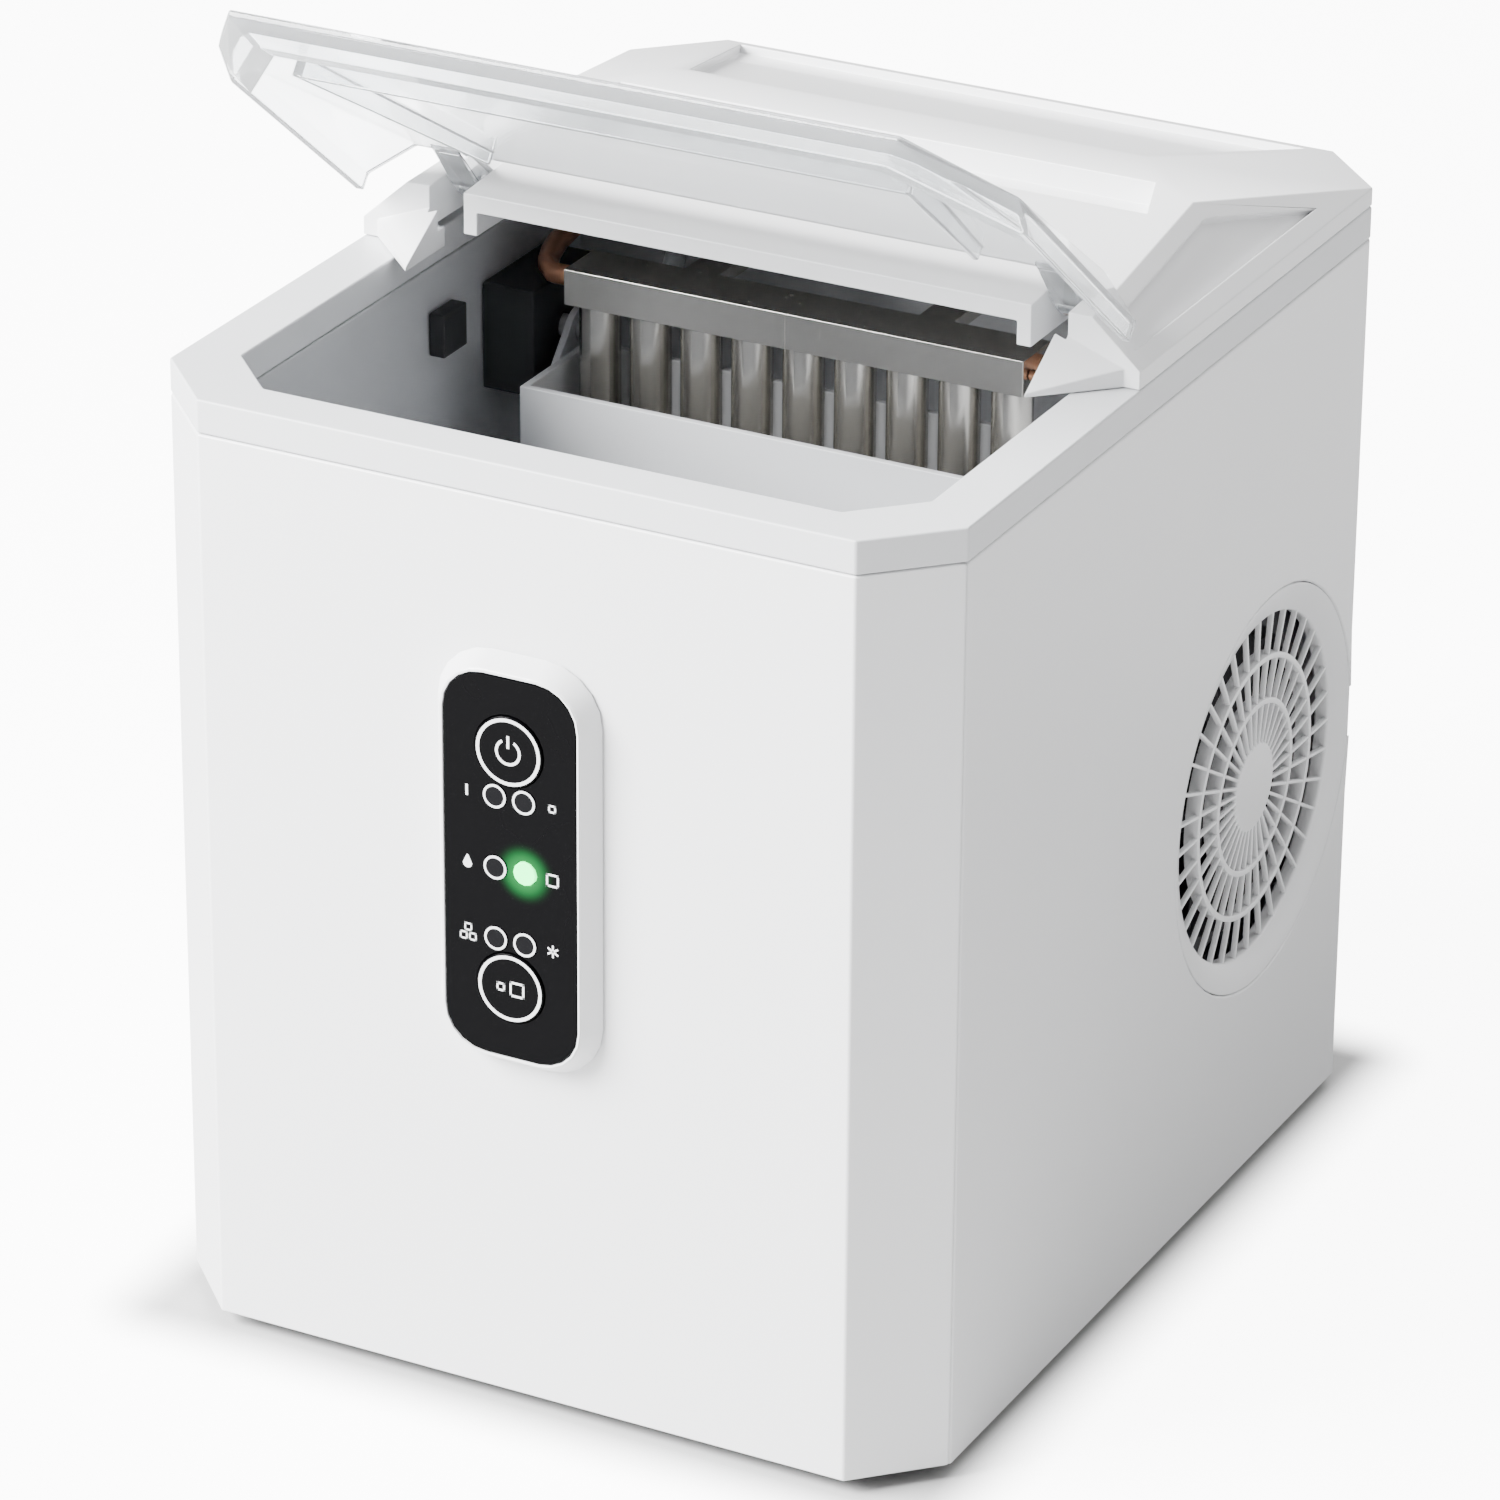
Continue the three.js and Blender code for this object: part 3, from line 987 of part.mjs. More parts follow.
function makeWater() {
  const foot = PAN_TOP + GAP;
  const inletZ = TUB_FLOOR + 9;
  const pump = join(
    rodZ(PUMP_X, PUMP_Y, PUMP_R, foot + 6, foot + 6 + PUMP_H, 24),
    rodZ(PUMP_X, PUMP_Y, PUMP_R + 3, foot, foot + 9, 24),
    rodY(PUMP_X, inletZ, 4, BIN_BACK + TUB_T + GAP, PUMP_Y, 16),
    rodZ(PUMP_X, PUMP_Y, 3, foot + PUMP_H, foot + PUMP_H + 14, 16),
  );
  piece("water_pump", pump, DARK);

  piece("water_hose", tube([
    [PUMP_X, PUMP_Y, foot + PUMP_H + 14 + GAP], [PUMP_X, PUMP_Y, foot + PUMP_H + 28],
    [PUMP_X - 9, PUMP_Y + 22, 106], [PUMP_X - 9, CHAMBER_BACK + 4, 134],
    [PUMP_X + 10, CHAMBER_BACK + 16, 190], [PUMP_X + 16, CHAMBER_BACK + 12, BAR_Z],
    [PUMP_X + 20, CHAMBER_BACK - 2, BAR_Z + 5], [PUMP_X + 30, AXLE_Y + 14, BAR_Z + 3],
    [PUMP_X + 34, AXLE_Y - 3, TRAY_RIM + 14], [PUMP_X + 34, AXLE_Y - 5, TRAY_RIM + 4],
  ], 3.2, 36), CLEAR);

  const stemTop = BASKET_FLOOR - 4;
  piece("float_stem", rodZ(STEM_X, STEM_Y, STEM_R, TUB_FLOOR + GAP, stemTop, 16), PALE_GREY);
  const floatZ = TUB_FLOOR + 6;
  piece("level_float", cut(rodZ(STEM_X, STEM_Y, FLOAT_R, floatZ, floatZ + FLOAT_H, 24),
    rodZ(STEM_X, STEM_Y, STEM_R + 0.5, floatZ - 1, floatZ + FLOAT_H + 1, 16)), WHITE);

  const hoseEnd = BODY_D;
  const hose = cut(
    join(rodY(DRAIN_X, DRAIN_Z, DRAIN_R, BIN_BACK + TUB_T + GAP, hoseEnd, 20),
      rodY(DRAIN_X, DRAIN_Z, DRAIN_R + 3, BIN_BACK + TUB_T + GAP, BIN_BACK + TUB_T + 3, 20)),
    rodY(DRAIN_X, DRAIN_Z, DRAIN_R - 1.5, BIN_BACK, hoseEnd + 1, 20),
  );
  piece("drain_hose", hose, CLEAR);

  const grips = Array.from({ length: 8 }, (_, i) => {
    const angle = (i * Math.PI) / 4;
    const [x, z] = [DRAIN_X + CAP_R * Math.cos(angle), DRAIN_Z + CAP_R * Math.sin(angle)];
    return rodY(x, z, 1.2, BODY_D, BODY_D + CAP_T + 1, 6);
  });
  const cap = join(
    cut(rodY(DRAIN_X, DRAIN_Z, CAP_R, BODY_D + GAP, BODY_D + GAP + CAP_T, 24), ...grips),
    rodY(DRAIN_X, DRAIN_Z, DRAIN_R - 1.5 - GAP, BODY_D - 12, BODY_D + GAP + 1, 20),
  );
  piece("drain_cap", cap, DARK);

  const gland = cut(
    join(
      rodY(GLAND_X, GLAND_Z, GLAND_R, BODY_D + GAP, BODY_D + GAP + 3, 24),
      rodY(GLAND_X, GLAND_Z, GLAND_R - 2, BODY_D - 8, BODY_D + GAP + 1, 24),
    ),
    rodY(GLAND_X, GLAND_Z, 3.5, BODY_D - 9, BODY_D + 9, 16),
  );
  piece("cord_gland", gland, RUBBER);
}

makeShell();
makeFeetAndScrews();
makeTopFrame();
makeRearCover();
makeLid();
makeControls();
makeTub();
makeBasket();
makeFreezer();
makeFan();
makeCooling();
makeWater();

export default machine;
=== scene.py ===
"""Countertop ice maker with its clear lid half open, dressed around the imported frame.

Every length is in metres. Pieces take their place from the CAD nodes' boxes.
"""
import math

import bpy
from mathutils import Matrix, Vector


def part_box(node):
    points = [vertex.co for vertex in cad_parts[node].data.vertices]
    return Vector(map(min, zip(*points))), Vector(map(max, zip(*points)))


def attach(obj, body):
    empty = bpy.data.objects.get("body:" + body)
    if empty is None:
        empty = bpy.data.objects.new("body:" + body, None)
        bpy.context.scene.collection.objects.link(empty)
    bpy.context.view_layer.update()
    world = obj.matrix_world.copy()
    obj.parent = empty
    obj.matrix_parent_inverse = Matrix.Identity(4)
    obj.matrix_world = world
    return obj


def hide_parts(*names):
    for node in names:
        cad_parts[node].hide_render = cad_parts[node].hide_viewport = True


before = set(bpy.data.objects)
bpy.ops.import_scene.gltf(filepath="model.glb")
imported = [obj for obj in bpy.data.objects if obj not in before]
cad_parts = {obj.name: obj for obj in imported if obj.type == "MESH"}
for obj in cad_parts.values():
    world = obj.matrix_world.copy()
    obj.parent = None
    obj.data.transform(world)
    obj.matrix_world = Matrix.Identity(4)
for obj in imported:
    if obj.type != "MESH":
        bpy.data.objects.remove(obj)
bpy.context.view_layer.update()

MM = 0.001

# Camera
CAMERA_AZIMUTH = 27.53
CAMERA_ELEVATION = 25.30
CAMERA_ROLL = 0.39
CAMERA_DISTANCE = 1.942
CAMERA_LENS = 176.3
CAMERA_TARGET = Vector((-0.0097, 0.0006, 0.1260))

# Fan grille
VANES = 36
GRILLE_RING_R = (23.6 * MM, 35.9 * MM)
GRILLE_HUB_R = 12.4 * MM
GRILLE_HOLE_R = 48.0 * MM
GRILLE_OUTER_R = 56.0 * MM
GRILLE_DISH = 3.0 * MM
GRILLE_DEPTH = 4.0 * MM
VANE_DEPTH = 1.6 * MM
VANE_T = 0.9 * MM

# Print on the controls
PRINT_T = 0.12 * MM
BUTTON_RING_R = 9.0 * MM
RING_W = 0.9 * MM
LAMP_RING_R = 3.2 * MM
LAMP_RING_W = 0.62 * MM
SIGN_X = 12.0 * MM
GLOW_FROM = 2.6 * MM
GLOW_TO = 10.5 * MM

LAMPS = ("power", "small_ice", "add_water", "large_ice", "ice_full", "clean")

# Floor and lights
FLOOR_SIZE = 12.0
FLOOR_GREY = 0.55
FLOOR_GLOW = 9.0
# How far the painted contact shadow on the floor reaches around the base.
SHADOW_REACH = 26 * MM
WORLD_STRENGTH = 0.5
SOFTBOXES = (  # name, place, aim, size, watts
    ("key_softbox", (-2.0, -1.8, 2.0), (0.0, 0.0, 0.15), 1.8, 720.0),
    ("top_softbox", (0.3, 0.9, 2.4), (0.0, 0.0, 0.2), 1.6, 25.0),
    ("rear_softbox", (1.1, 1.0, 0.9), (0.1, 0.12, 0.15), 0.7, 6.0),
)

# Colours, linear
WHITE = (0.86, 0.865, 0.875)
PALE_GREY = (0.69, 0.70, 0.715)
LINER_GREY = (0.50, 0.51, 0.525)
BASKET_GREY = (0.66, 0.67, 0.69)
CLEAR = (0.93, 0.95, 0.965)
BLACK = (0.0018, 0.0018, 0.0022)
PRINT_WHITE = (0.85, 0.86, 0.87)
DARK = (0.022, 0.023, 0.026)
RUBBER = (0.018, 0.018, 0.019)
STEEL = (0.62, 0.63, 0.65)
NICKEL = (0.66, 0.64, 0.60)
COPPER = (0.70, 0.36, 0.22)
ALUMINIUM = (0.72, 0.73, 0.75)
ENAMEL = (0.014, 0.014, 0.016)
BOARD_GREEN = (0.02, 0.12, 0.05)
LAMP_GREEN = (0.05, 0.95, 0.22)
LAMP_GLOW = (0.03, 0.55, 0.12)
LAMP_UNLIT = (0.003, 0.003, 0.004)
HOSE = (0.78, 0.82, 0.82)


# ---------------------------------------------------------------- shader groups

def new_group(name, inputs, outputs):
    """An empty shader group with named sockets; returns the tree and its two ends."""
    tree = bpy.data.node_groups.new(name, "ShaderNodeTree")
    for label, kind, value in inputs:
        socket = tree.interface.new_socket(name=label, in_out="INPUT", socket_type=kind)
        socket.default_value = value
    for label, kind in outputs:
        tree.interface.new_socket(name=label, in_out="OUTPUT", socket_type=kind)
    return tree, tree.nodes.new("NodeGroupInput"), tree.nodes.new("NodeGroupOutput")


def math_node(tree, operation, first, second=None, clamp=False):
    node = tree.nodes.new("ShaderNodeMath")
    node.operation = operation
    node.use_clamp = clamp
    for socket, value in zip(node.inputs, (first, second)):
        if hasattr(value, "is_output"):
            tree.links.new(value, socket)
        elif value is not None:
            socket.default_value = value
    return node.outputs[0]


def noise_node(tree, vector, scale, detail=4.0, roughness=0.55):
    node = tree.nodes.new("ShaderNodeTexNoise")
    node.inputs["Detail"].default_value = detail
    node.inputs["Roughness"].default_value = roughness
    tree.links.new(vector, node.inputs["Vector"])
    if hasattr(scale, "is_output"):
        tree.links.new(scale, node.inputs["Scale"])
    else:
        node.inputs["Scale"].default_value = scale
    return node.outputs["Fac"]


def build_moulded_skin():
    """Fine spark texture of a mould, and slow variation of the resin."""
    tree, given, out = new_group(
        "moulded_skin",
        [("Grain Scale", "NodeSocketFloat", 1800.0), ("Cloud Scale", "NodeSocketFloat", 14.0)],
        [("Height", "NodeSocketFloat"), ("Cloud", "NodeSocketFloat")],
    )
    place = tree.nodes.new("ShaderNodeTexCoord").outputs["Object"]
    grain = noise_node(tree, place, given.outputs["Grain Scale"], 2.0)
    waves = noise_node(tree, place, given.outputs["Cloud Scale"], 3.0)
    height = math_node(tree, "ADD", grain, math_node(tree, "MULTIPLY", waves, 0.6))
    tree.links.new(height, out.inputs["Height"])
    tree.links.new(waves, out.inputs["Cloud"])
    return tree


def build_edge_wear_and_highlight():
    """1 on edges, 0 on flats, broken up by noise; it lightens the colour there, as wear and as a painted
    highlight.
    """
    tree, given, out = new_group(
        "edge_wear_and_highlight",
        [("Radius", "NodeSocketFloat", 0.0008), ("Amount", "NodeSocketFloat", 1.0)],
        [("Mask", "NodeSocketFloat")],
    )
    bevel = tree.nodes.new("ShaderNodeBevel")
    bevel.samples = 4
    tree.links.new(given.outputs["Radius"], bevel.inputs["Radius"])
    surface = tree.nodes.new("ShaderNodeNewGeometry").outputs["Normal"]
    dot = tree.nodes.new("ShaderNodeVectorMath")
    dot.operation = "DOT_PRODUCT"
    tree.links.new(bevel.outputs["Normal"], dot.inputs[0])
    tree.links.new(surface, dot.inputs[1])
    turned_away = math_node(tree, "SUBTRACT", 1.0, dot.outputs["Value"], True)
    place = tree.nodes.new("ShaderNodeTexCoord").outputs["Object"]
    broken = noise_node(tree, place, 160.0, 3.0)
    wear_and_highlight = math_node(tree, "MULTIPLY", math_node(tree, "MULTIPLY", turned_away, 6.0, True), broken)
    tree.links.new(math_node(tree, "MULTIPLY", wear_and_highlight, given.outputs["Amount"], True), out.inputs["Mask"])
    return tree


def build_handling_marks():
    """Soft smears and fine specks left by hands and air, 0 to 1."""
    tree, given, out = new_group(
        "handling_marks",
        [("Scale", "NodeSocketFloat", 22.0), ("Amount", "NodeSocketFloat", 1.0)],
        [("Smear", "NodeSocketFloat"), ("Specks", "NodeSocketFloat")],
    )
    place = tree.nodes.new("ShaderNodeTexCoord").outputs["Object"]
    stretch = tree.nodes.new("ShaderNodeMapping")
    stretch.inputs["Scale"].default_value = (1.0, 1.0, 0.35)
    tree.links.new(place, stretch.inputs["Vector"])
    smear = noise_node(tree, stretch.outputs["Vector"], given.outputs["Scale"], 6.0, 0.65)
    specks = noise_node(tree, place, 900.0, 1.0)
    amount = given.outputs["Amount"]
    tree.links.new(math_node(tree, "MULTIPLY", smear, amount, True), out.inputs["Smear"])
    lone = math_node(tree, "MULTIPLY", math_node(tree, "SUBTRACT", specks, 0.68, True), 5.0, True)
    tree.links.new(lone, out.inputs["Specks"])
    return tree


def build_drawn_metal():
    """Fine lines left by drawing or brushing along one direction."""
    tree, given, out = new_group(
        "drawn_metal",
        [("Scale", "NodeSocketFloat", 420.0), ("Direction", "NodeSocketVector", (1.0, 1.0, 0.04))],
        [("Height", "NodeSocketFloat"), ("Tone", "NodeSocketFloat")],
    )
    place = tree.nodes.new("ShaderNodeTexCoord").outputs["Object"]
    stretch = tree.nodes.new("ShaderNodeMapping")
    tree.links.new(given.outputs["Direction"], stretch.inputs["Scale"])
    tree.links.new(place, stretch.inputs["Vector"])
    lines = noise_node(tree, stretch.outputs["Vector"], given.outputs["Scale"], 3.0)
    tone = noise_node(tree, place, 30.0, 4.0)
    tree.links.new(lines, out.inputs["Height"])
    tree.links.new(tone, out.inputs["Tone"])
    return tree


MOULDED_SKIN = build_moulded_skin()
EDGE_WEAR_AND_HIGHLIGHT = build_edge_wear_and_highlight()
HANDLING_MARKS = build_handling_marks()
DRAWN_METAL = build_drawn_metal()


# ---------------------------------------------------------------- materials

def start_material(name, **values):
    """A material with its Principled shader set to plain values."""
    material = bpy.data.materials.new(name)
    material.use_nodes = True
    shader = material.node_tree.nodes["Principled BSDF"]
    for socket, value in values.items():
        shader.inputs[socket.replace("_", " ")].default_value = value
    return material, material.node_tree, shader


def place_group(tree, group, **values):
    node = tree.nodes.new("ShaderNodeGroup")
    node.node_tree = group
    for socket, value in values.items():
        node.inputs[socket.replace("_", " ")].default_value = value
    return node


def mix_colour(tree, factor, first, second):
    node = tree.nodes.new("ShaderNodeMix")
    node.data_type = "RGBA"
    tree.links.new(factor, node.inputs["Factor"])
    for socket, value in zip((node.inputs[6], node.inputs[7]), (first, second)):
        if hasattr(value, "is_output"):
            tree.links.new(value, socket)
        else:
            socket.default_value = (*value, 1.0)
    return node.outputs[2]


def ranged(tree, value, low, high):
    node = tree.nodes.new("ShaderNodeMapRange")
    node.inputs["To Min"].default_value = low
    node.inputs["To Max"].default_value = high
    tree.links.new(value, node.inputs["Value"])
    return node.outputs["Result"]


def bump(tree, shader, height, strength, distance):
    node = tree.nodes.new("ShaderNodeBump")
    node.inputs["Strength"].default_value = strength
    node.inputs["Distance"].default_value = distance
    tree.links.new(height, node.inputs["Height"])
    tree.links.new(node.outputs["Normal"], shader.inputs["Normal"])


def shaded(colour, share):
    return tuple(channel * share for channel in colour)


def moulded_plastic(name, colour, roughness, grain=1800.0, depth=0.12, wear_and_highlight_amount=0.35, **values):
    """Injection-moulded plastic: cloudy resin, spark grain, edges lightened by wear and a painted
    highlight, and faint smears.
    """
    material, tree, shader = start_material(name, **values)
    skin = place_group(tree, MOULDED_SKIN, Grain_Scale=grain)
    wear_and_highlight = place_group(tree, EDGE_WEAR_AND_HIGHLIGHT, Amount=wear_and_highlight_amount)
    marks = place_group(tree, HANDLING_MARKS)
    resin = mix_colour(tree, skin.outputs["Cloud"], shaded(colour, 0.975), colour)
    # Lighter colour on the edges: wear, and a painted highlight.
    edge_wear_and_highlight_colour = tuple(min(1.0, channel * 1.06 + 0.02) for channel in colour)
    tree.links.new(mix_colour(tree, wear_and_highlight.outputs["Mask"], resin, edge_wear_and_highlight_colour), shader.inputs["Base Color"])
    polish = ranged(tree, marks.outputs["Smear"], roughness * 0.8, roughness * 1.25)
    tree.links.new(polish, shader.inputs["Roughness"])
    bump(tree, shader, skin.outputs["Height"], depth, 0.02 * MM)
    return material


def bare_metal(name, colour, roughness, direction=(1.0, 1.0, 0.04), **values):
    """Drawn or brushed metal with tarnish that comes and goes."""
    material, tree, shader = start_material(name, Metallic=1.0, **values)
    drawn = place_group(tree, DRAWN_METAL, Direction=direction)
    wear_and_highlight = place_group(tree, EDGE_WEAR_AND_HIGHLIGHT, Amount=0.5)
    tone = mix_colour(tree, drawn.outputs["Tone"], shaded(colour, 0.78), colour)
    # Lighter colour on the edges: wear, and a painted highlight.
    metal_wear_and_highlight_colour = tuple(min(1.0, channel * 1.15) for channel in colour)
    tree.links.new(mix_colour(tree, wear_and_highlight.outputs["Mask"], tone, metal_wear_and_highlight_colour), shader.inputs["Base Color"])
    polish = ranged(tree, drawn.outputs["Height"], roughness * 0.75, roughness * 1.3)
    tree.links.new(polish, shader.inputs["Roughness"])
    bump(tree, shader, drawn.outputs["Height"], 0.15, 0.03 * MM)
    return material


def clear_plastic(name, colour, roughness, weight):
    """Polished see-through plastic with faint smears."""
    material, tree, shader = start_material(name, Transmission_Weight=weight, IOR=1.46, Metallic=0.0)
    marks = place_group(tree, HANDLING_MARKS, Scale=12.0)
    skin = place_group(tree, MOULDED_SKIN, Cloud_Scale=9.0)
    tint = mix_colour(tree, skin.outputs["Cloud"], shaded(colour, 0.985), colour)
    tree.links.new(tint, shader.inputs["Base Color"])
    polish = ranged(tree, marks.outputs["Smear"], roughness * 0.4, roughness * 1.6)
    tree.links.new(polish, shader.inputs["Roughness"])
    return material


def face_panel():
    """Glossy black face; light from the lit lamp bleeds into it."""
    material, tree, shader = start_material("gloss_black_face", IOR=1.5, Specular_IOR_Level=0.05)
    shader.inputs["Emission Strength"].default_value = 1.0
    marks = place_group(tree, HANDLING_MARKS, Scale=40.0)
    skin = place_group(tree, MOULDED_SKIN, Cloud_Scale=30.0)
    tint = mix_colour(tree, skin.outputs["Cloud"], shaded(BLACK, 0.8), BLACK)
    tree.links.new(tint, shader.inputs["Base Color"])
    tree.links.new(ranged(tree, marks.outputs["Smear"], 0.1, 0.26), shader.inputs["Roughness"])
    low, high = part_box("lamp_large_ice")
    centre = (low + high) / 2
    place = tree.nodes.new("ShaderNodeTexCoord").outputs["Object"]
    away = tree.nodes.new("ShaderNodeVectorMath")
    away.operation = "DISTANCE"
    tree.links.new(place, away.inputs[0])
    away.inputs[1].default_value = centre
    near = tree.nodes.new("ShaderNodeMapRange")
    near.interpolation_type = "SMOOTHERSTEP"
    near.inputs["From Min"].default_value = GLOW_FROM
    near.inputs["From Max"].default_value = GLOW_TO
    near.inputs["To Min"].default_value = 1.0
    near.inputs["To Max"].default_value = 0.0
    tree.links.new(away.outputs["Value"], near.inputs["Value"])
    falling = math_node(tree, "POWER", near.outputs["Result"], 2.2)
    glow = mix_colour(tree, falling, (0.0, 0.0, 0.0), LAMP_GLOW)
    tree.links.new(glow, shader.inputs["Emission Color"])
    return material


def lamp_lens(name, colour, glow):
    """A small domed lens; a lit one glows, its tint varying a little over it."""
    material, tree, shader = start_material(name, IOR=1.49, Specular_IOR_Level=0.1)
    shader.inputs["Emission Strength"].default_value = glow
    skin = place_group(tree, MOULDED_SKIN, Cloud_Scale=200.0)
    marks = place_group(tree, HANDLING_MARKS, Scale=60.0)
    tint = mix_colour(tree, skin.outputs["Cloud"], shaded(colour, 0.85), colour)
    tree.links.new(tint, shader.inputs["Base Color"])
    tree.links.new(tint, shader.inputs["Emission Color"])
    tree.links.new(ranged(tree, marks.outputs["Smear"], 0.08, 0.2), shader.inputs["Roughness"])
    return material


def make_materials():
    """One finish for each of the record's slots, and the print on the controls."""
    return {
        "white_shell": moulded_plastic(
            "white_shell_plastic", WHITE, 0.30, 2400.0, 0.05, 0.3, Coat_Weight=0.25),
        # The rim's edges are lightened most: wear and a painted highlight.
        "rim_plastic": moulded_plastic("pale_rim_plastic", PALE_GREY, 0.38, 2000.0, 0.08, 0.7),
        "tub_plastic": moulded_plastic("grey_liner_plastic", LINER_GREY, 0.42, 1600.0, 0.12, 0.4),
        "basket_plastic": moulded_plastic("pale_basket_plastic", BASKET_GREY, 0.36, 1600.0, 0.1, 0.4),
        "clear_lid": clear_plastic("clear_lid_plastic", CLEAR, 0.07, 0.86),
        "panel_black": face_panel(),
        "lamp_off": lamp_lens("lamp_lens_unlit", LAMP_UNLIT, 0.0),
        "lamp_green": lamp_lens("lamp_lens_green", LAMP_GREEN, 6.0),
        "dark_plastic": moulded_plastic("dark_plastic", DARK, 0.55, 1200.0, 0.25, 0.6),
        "clear_hose": clear_plastic("silicone_hose", HOSE, 0.35, 0.6),
        "rubber_black": moulded_plastic("black_rubber", RUBBER, 0.82, 900.0, 0.4, 0.3),
        "screw_steel": bare_metal("zinc_screw", STEEL, 0.3),
        "nickel_plate": bare_metal("satin_nickel", NICKEL, 0.24),
        "copper": bare_metal("drawn_copper", COPPER, 0.32),
        "fin_aluminium": bare_metal("mill_aluminium", ALUMINIUM, 0.42, (1.0, 0.06, 1.0)),
        "compressor_paint": moulded_plastic(
            "black_enamel", ENAMEL, 0.4, 700.0, 0.3, 0.9, Coat_Weight=0.4),
        "motor_steel": bare_metal("motor_steel", STEEL, 0.35, (0.05, 1.0, 1.0)),
        "circuit_board": moulded_plastic("solder_mask", BOARD_GREEN, 0.45, 900.0, 0.2, 0.6),
        "print": moulded_plastic("white_print", PRINT_WHITE, 0.5, 3000.0, 0.1, 0.0),
    }


FINISH = make_materials()


# ---------------------------------------------------------------- mesh work

def pick(*objects):
    """Selects only these objects; the last is active."""
    bpy.ops.object.select_all(action="DESELECT")
    for obj in objects:
        obj.select_set(True)
    bpy.context.view_layer.objects.active = objects[-1]


def edit(obj, *steps):
    """Runs edit-mode operators on all of an object's mesh."""
    pick(obj)
    bpy.ops.object.mode_set(mode="EDIT")
    bpy.ops.mesh.select_all(action="SELECT")
    for step in steps:
        step()
    bpy.ops.object.mode_set(mode="OBJECT")


def settle(obj):
    """Puts an object's place into its mesh."""
    pick(obj)
    bpy.ops.object.transform_apply(location=True, rotation=True, scale=True)
    return obj


def smooth(obj, degrees=32.0):
    pick(obj)
    bpy.ops.object.shade_smooth_by_angle(angle=math.radians(degrees))
    return obj


def flatten_shading(obj):
    """Keeps the shading of flat faces flat beside their rounded edges."""
    modifier = obj.modifiers.new("flat_faces", "WEIGHTED_NORMAL")
    modifier.keep_sharp = True
    pick(obj)
    bpy.ops.object.modifier_apply(modifier=modifier.name)
    return obj


def bevel(obj, width, segments=3, degrees=30.0):
    """Rounds every edge sharper than an angle."""
    modifier = obj.modifiers.new("round_edges", "BEVEL")
    modifier.width = width
    modifier.segments = segments
    modifier.limit_method = "ANGLE"
    modifier.angle_limit = math.radians(degrees)
    modifier.use_clamp_overlap = False
    modifier.loop_slide = False
    modifier.miter_outer = "MITER_ARC"
    pick(obj)
    bpy.ops.object.modifier_apply(modifier=modifier.name)
    return obj


def fine_copy(node, name, whole_faces=True):
    """A merged copy of a CAD node, its flat faces whole again if they have few holes."""
    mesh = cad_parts[node].data.copy()
    mesh.materials.clear()
    obj = bpy.data.objects.new(name, mesh)
    bpy.context.scene.collection.objects.link(obj)
    pick(obj)
    if mesh.has_custom_normals:
        bpy.ops.mesh.customdata_custom_splitnormals_clear()
    edit(obj, lambda: bpy.ops.mesh.remove_doubles(threshold=0.01 * MM))
    if whole_faces:
        edit(obj, lambda: bpy.ops.mesh.dissolve_limited(angle_limit=math.radians(0.8)))
    return obj


def dress(obj, slot, body, *nodes, finish=None):
    """Gives a piece its finish and its body, and hides the CAD nodes that it stands for."""
    obj.data.materials.clear()
    obj.data.materials.append(FINISH[finish or slot])
    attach(obj, body)
    if nodes:
        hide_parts(*nodes)
    return obj


def rounded_node(node, slot, body="housing", width=0.4 * MM, segments=3, angle=30.0, whole_faces=True):
    """A CAD node with its edges rounded as a mould rounds them."""
    obj = fine_copy(node, f"{node}_moulded", whole_faces)
    bevel(obj, width, segments, angle)
    flatten_shading(smooth(obj))
    return dress(obj, slot, body, node)


# ---------------------------------------------------------------- shell

def make_shell():
    for node in ("front_panel", "left_side_panel", "right_side_panel"):
        rounded_node(node, "white_shell", width=0.7 * MM, segments=4)
    rounded_node("rear_panel", "white_shell", width=0.4 * MM, whole_faces=False)
    rounded_node("top_frame", "rim_plastic", width=0.6 * MM, segments=4)
    rounded_node("rear_top_cover", "white_shell", width=0.35 * MM, segments=3, angle=20.0)
    rounded_node("base_pan", "dark_plastic", width=0.5 * MM)
    for place in ("front_left", "front_right", "rear_left", "rear_right"):
        rounded_node(f"foot_{place}", "rubber_black", width=0.6 * MM)
    for place in ("lower_left", "lower_right", "upper_left", "upper_right"):
        rounded_node(f"rear_screw_{place}", "screw_steel", width=0.25 * MM)
    for place in ("left", "right"):
        rounded_node(f"hinge_pin_{place}", "screw_steel", width=0.3 * MM)


def make_lid():
    rounded_node("lid", "clear_lid", "lid", width=0.5 * MM, segments=3, angle=14.0)


# ---------------------------------------------------------------- controls

def ring_print(name, centre, radius, width, front):
    """A flat printed ring facing the front."""
    bpy.ops.object.select_all(action="DESELECT")
    bpy.ops.mesh.primitive_circle_add(vertices=48, radius=radius, location=(centre[0], front, centre[1]),
                                      rotation=(math.pi / 2, 0.0, 0.0), fill_type="NGON")
    ring = bpy.context.active_object
    ring.name = name
    settle(ring)
    edit(
        ring,
        lambda: bpy.ops.mesh.inset(thickness=width, depth=0.0),
        lambda: bpy.ops.mesh.delete(type="FACE"),
    )
    return thicken(ring, PRINT_T)


def thicken(obj, depth):
    """Gives a flat outline facing the front a small depth towards it."""
    modifier = obj.modifiers.new("print_depth", "SOLIDIFY")
    modifier.thickness = depth
    modifier.offset = 0.0
    pick(obj)
    bpy.ops.object.modifier_apply(modifier=modifier.name)
    edit(obj, lambda: bpy.ops.mesh.normals_make_consistent(inside=False))
    return obj


def join(name, objects):
    pick(*objects)
    bpy.ops.object.join()
    whole = bpy.context.active_object
    whole.name = name
    return settle(whole)


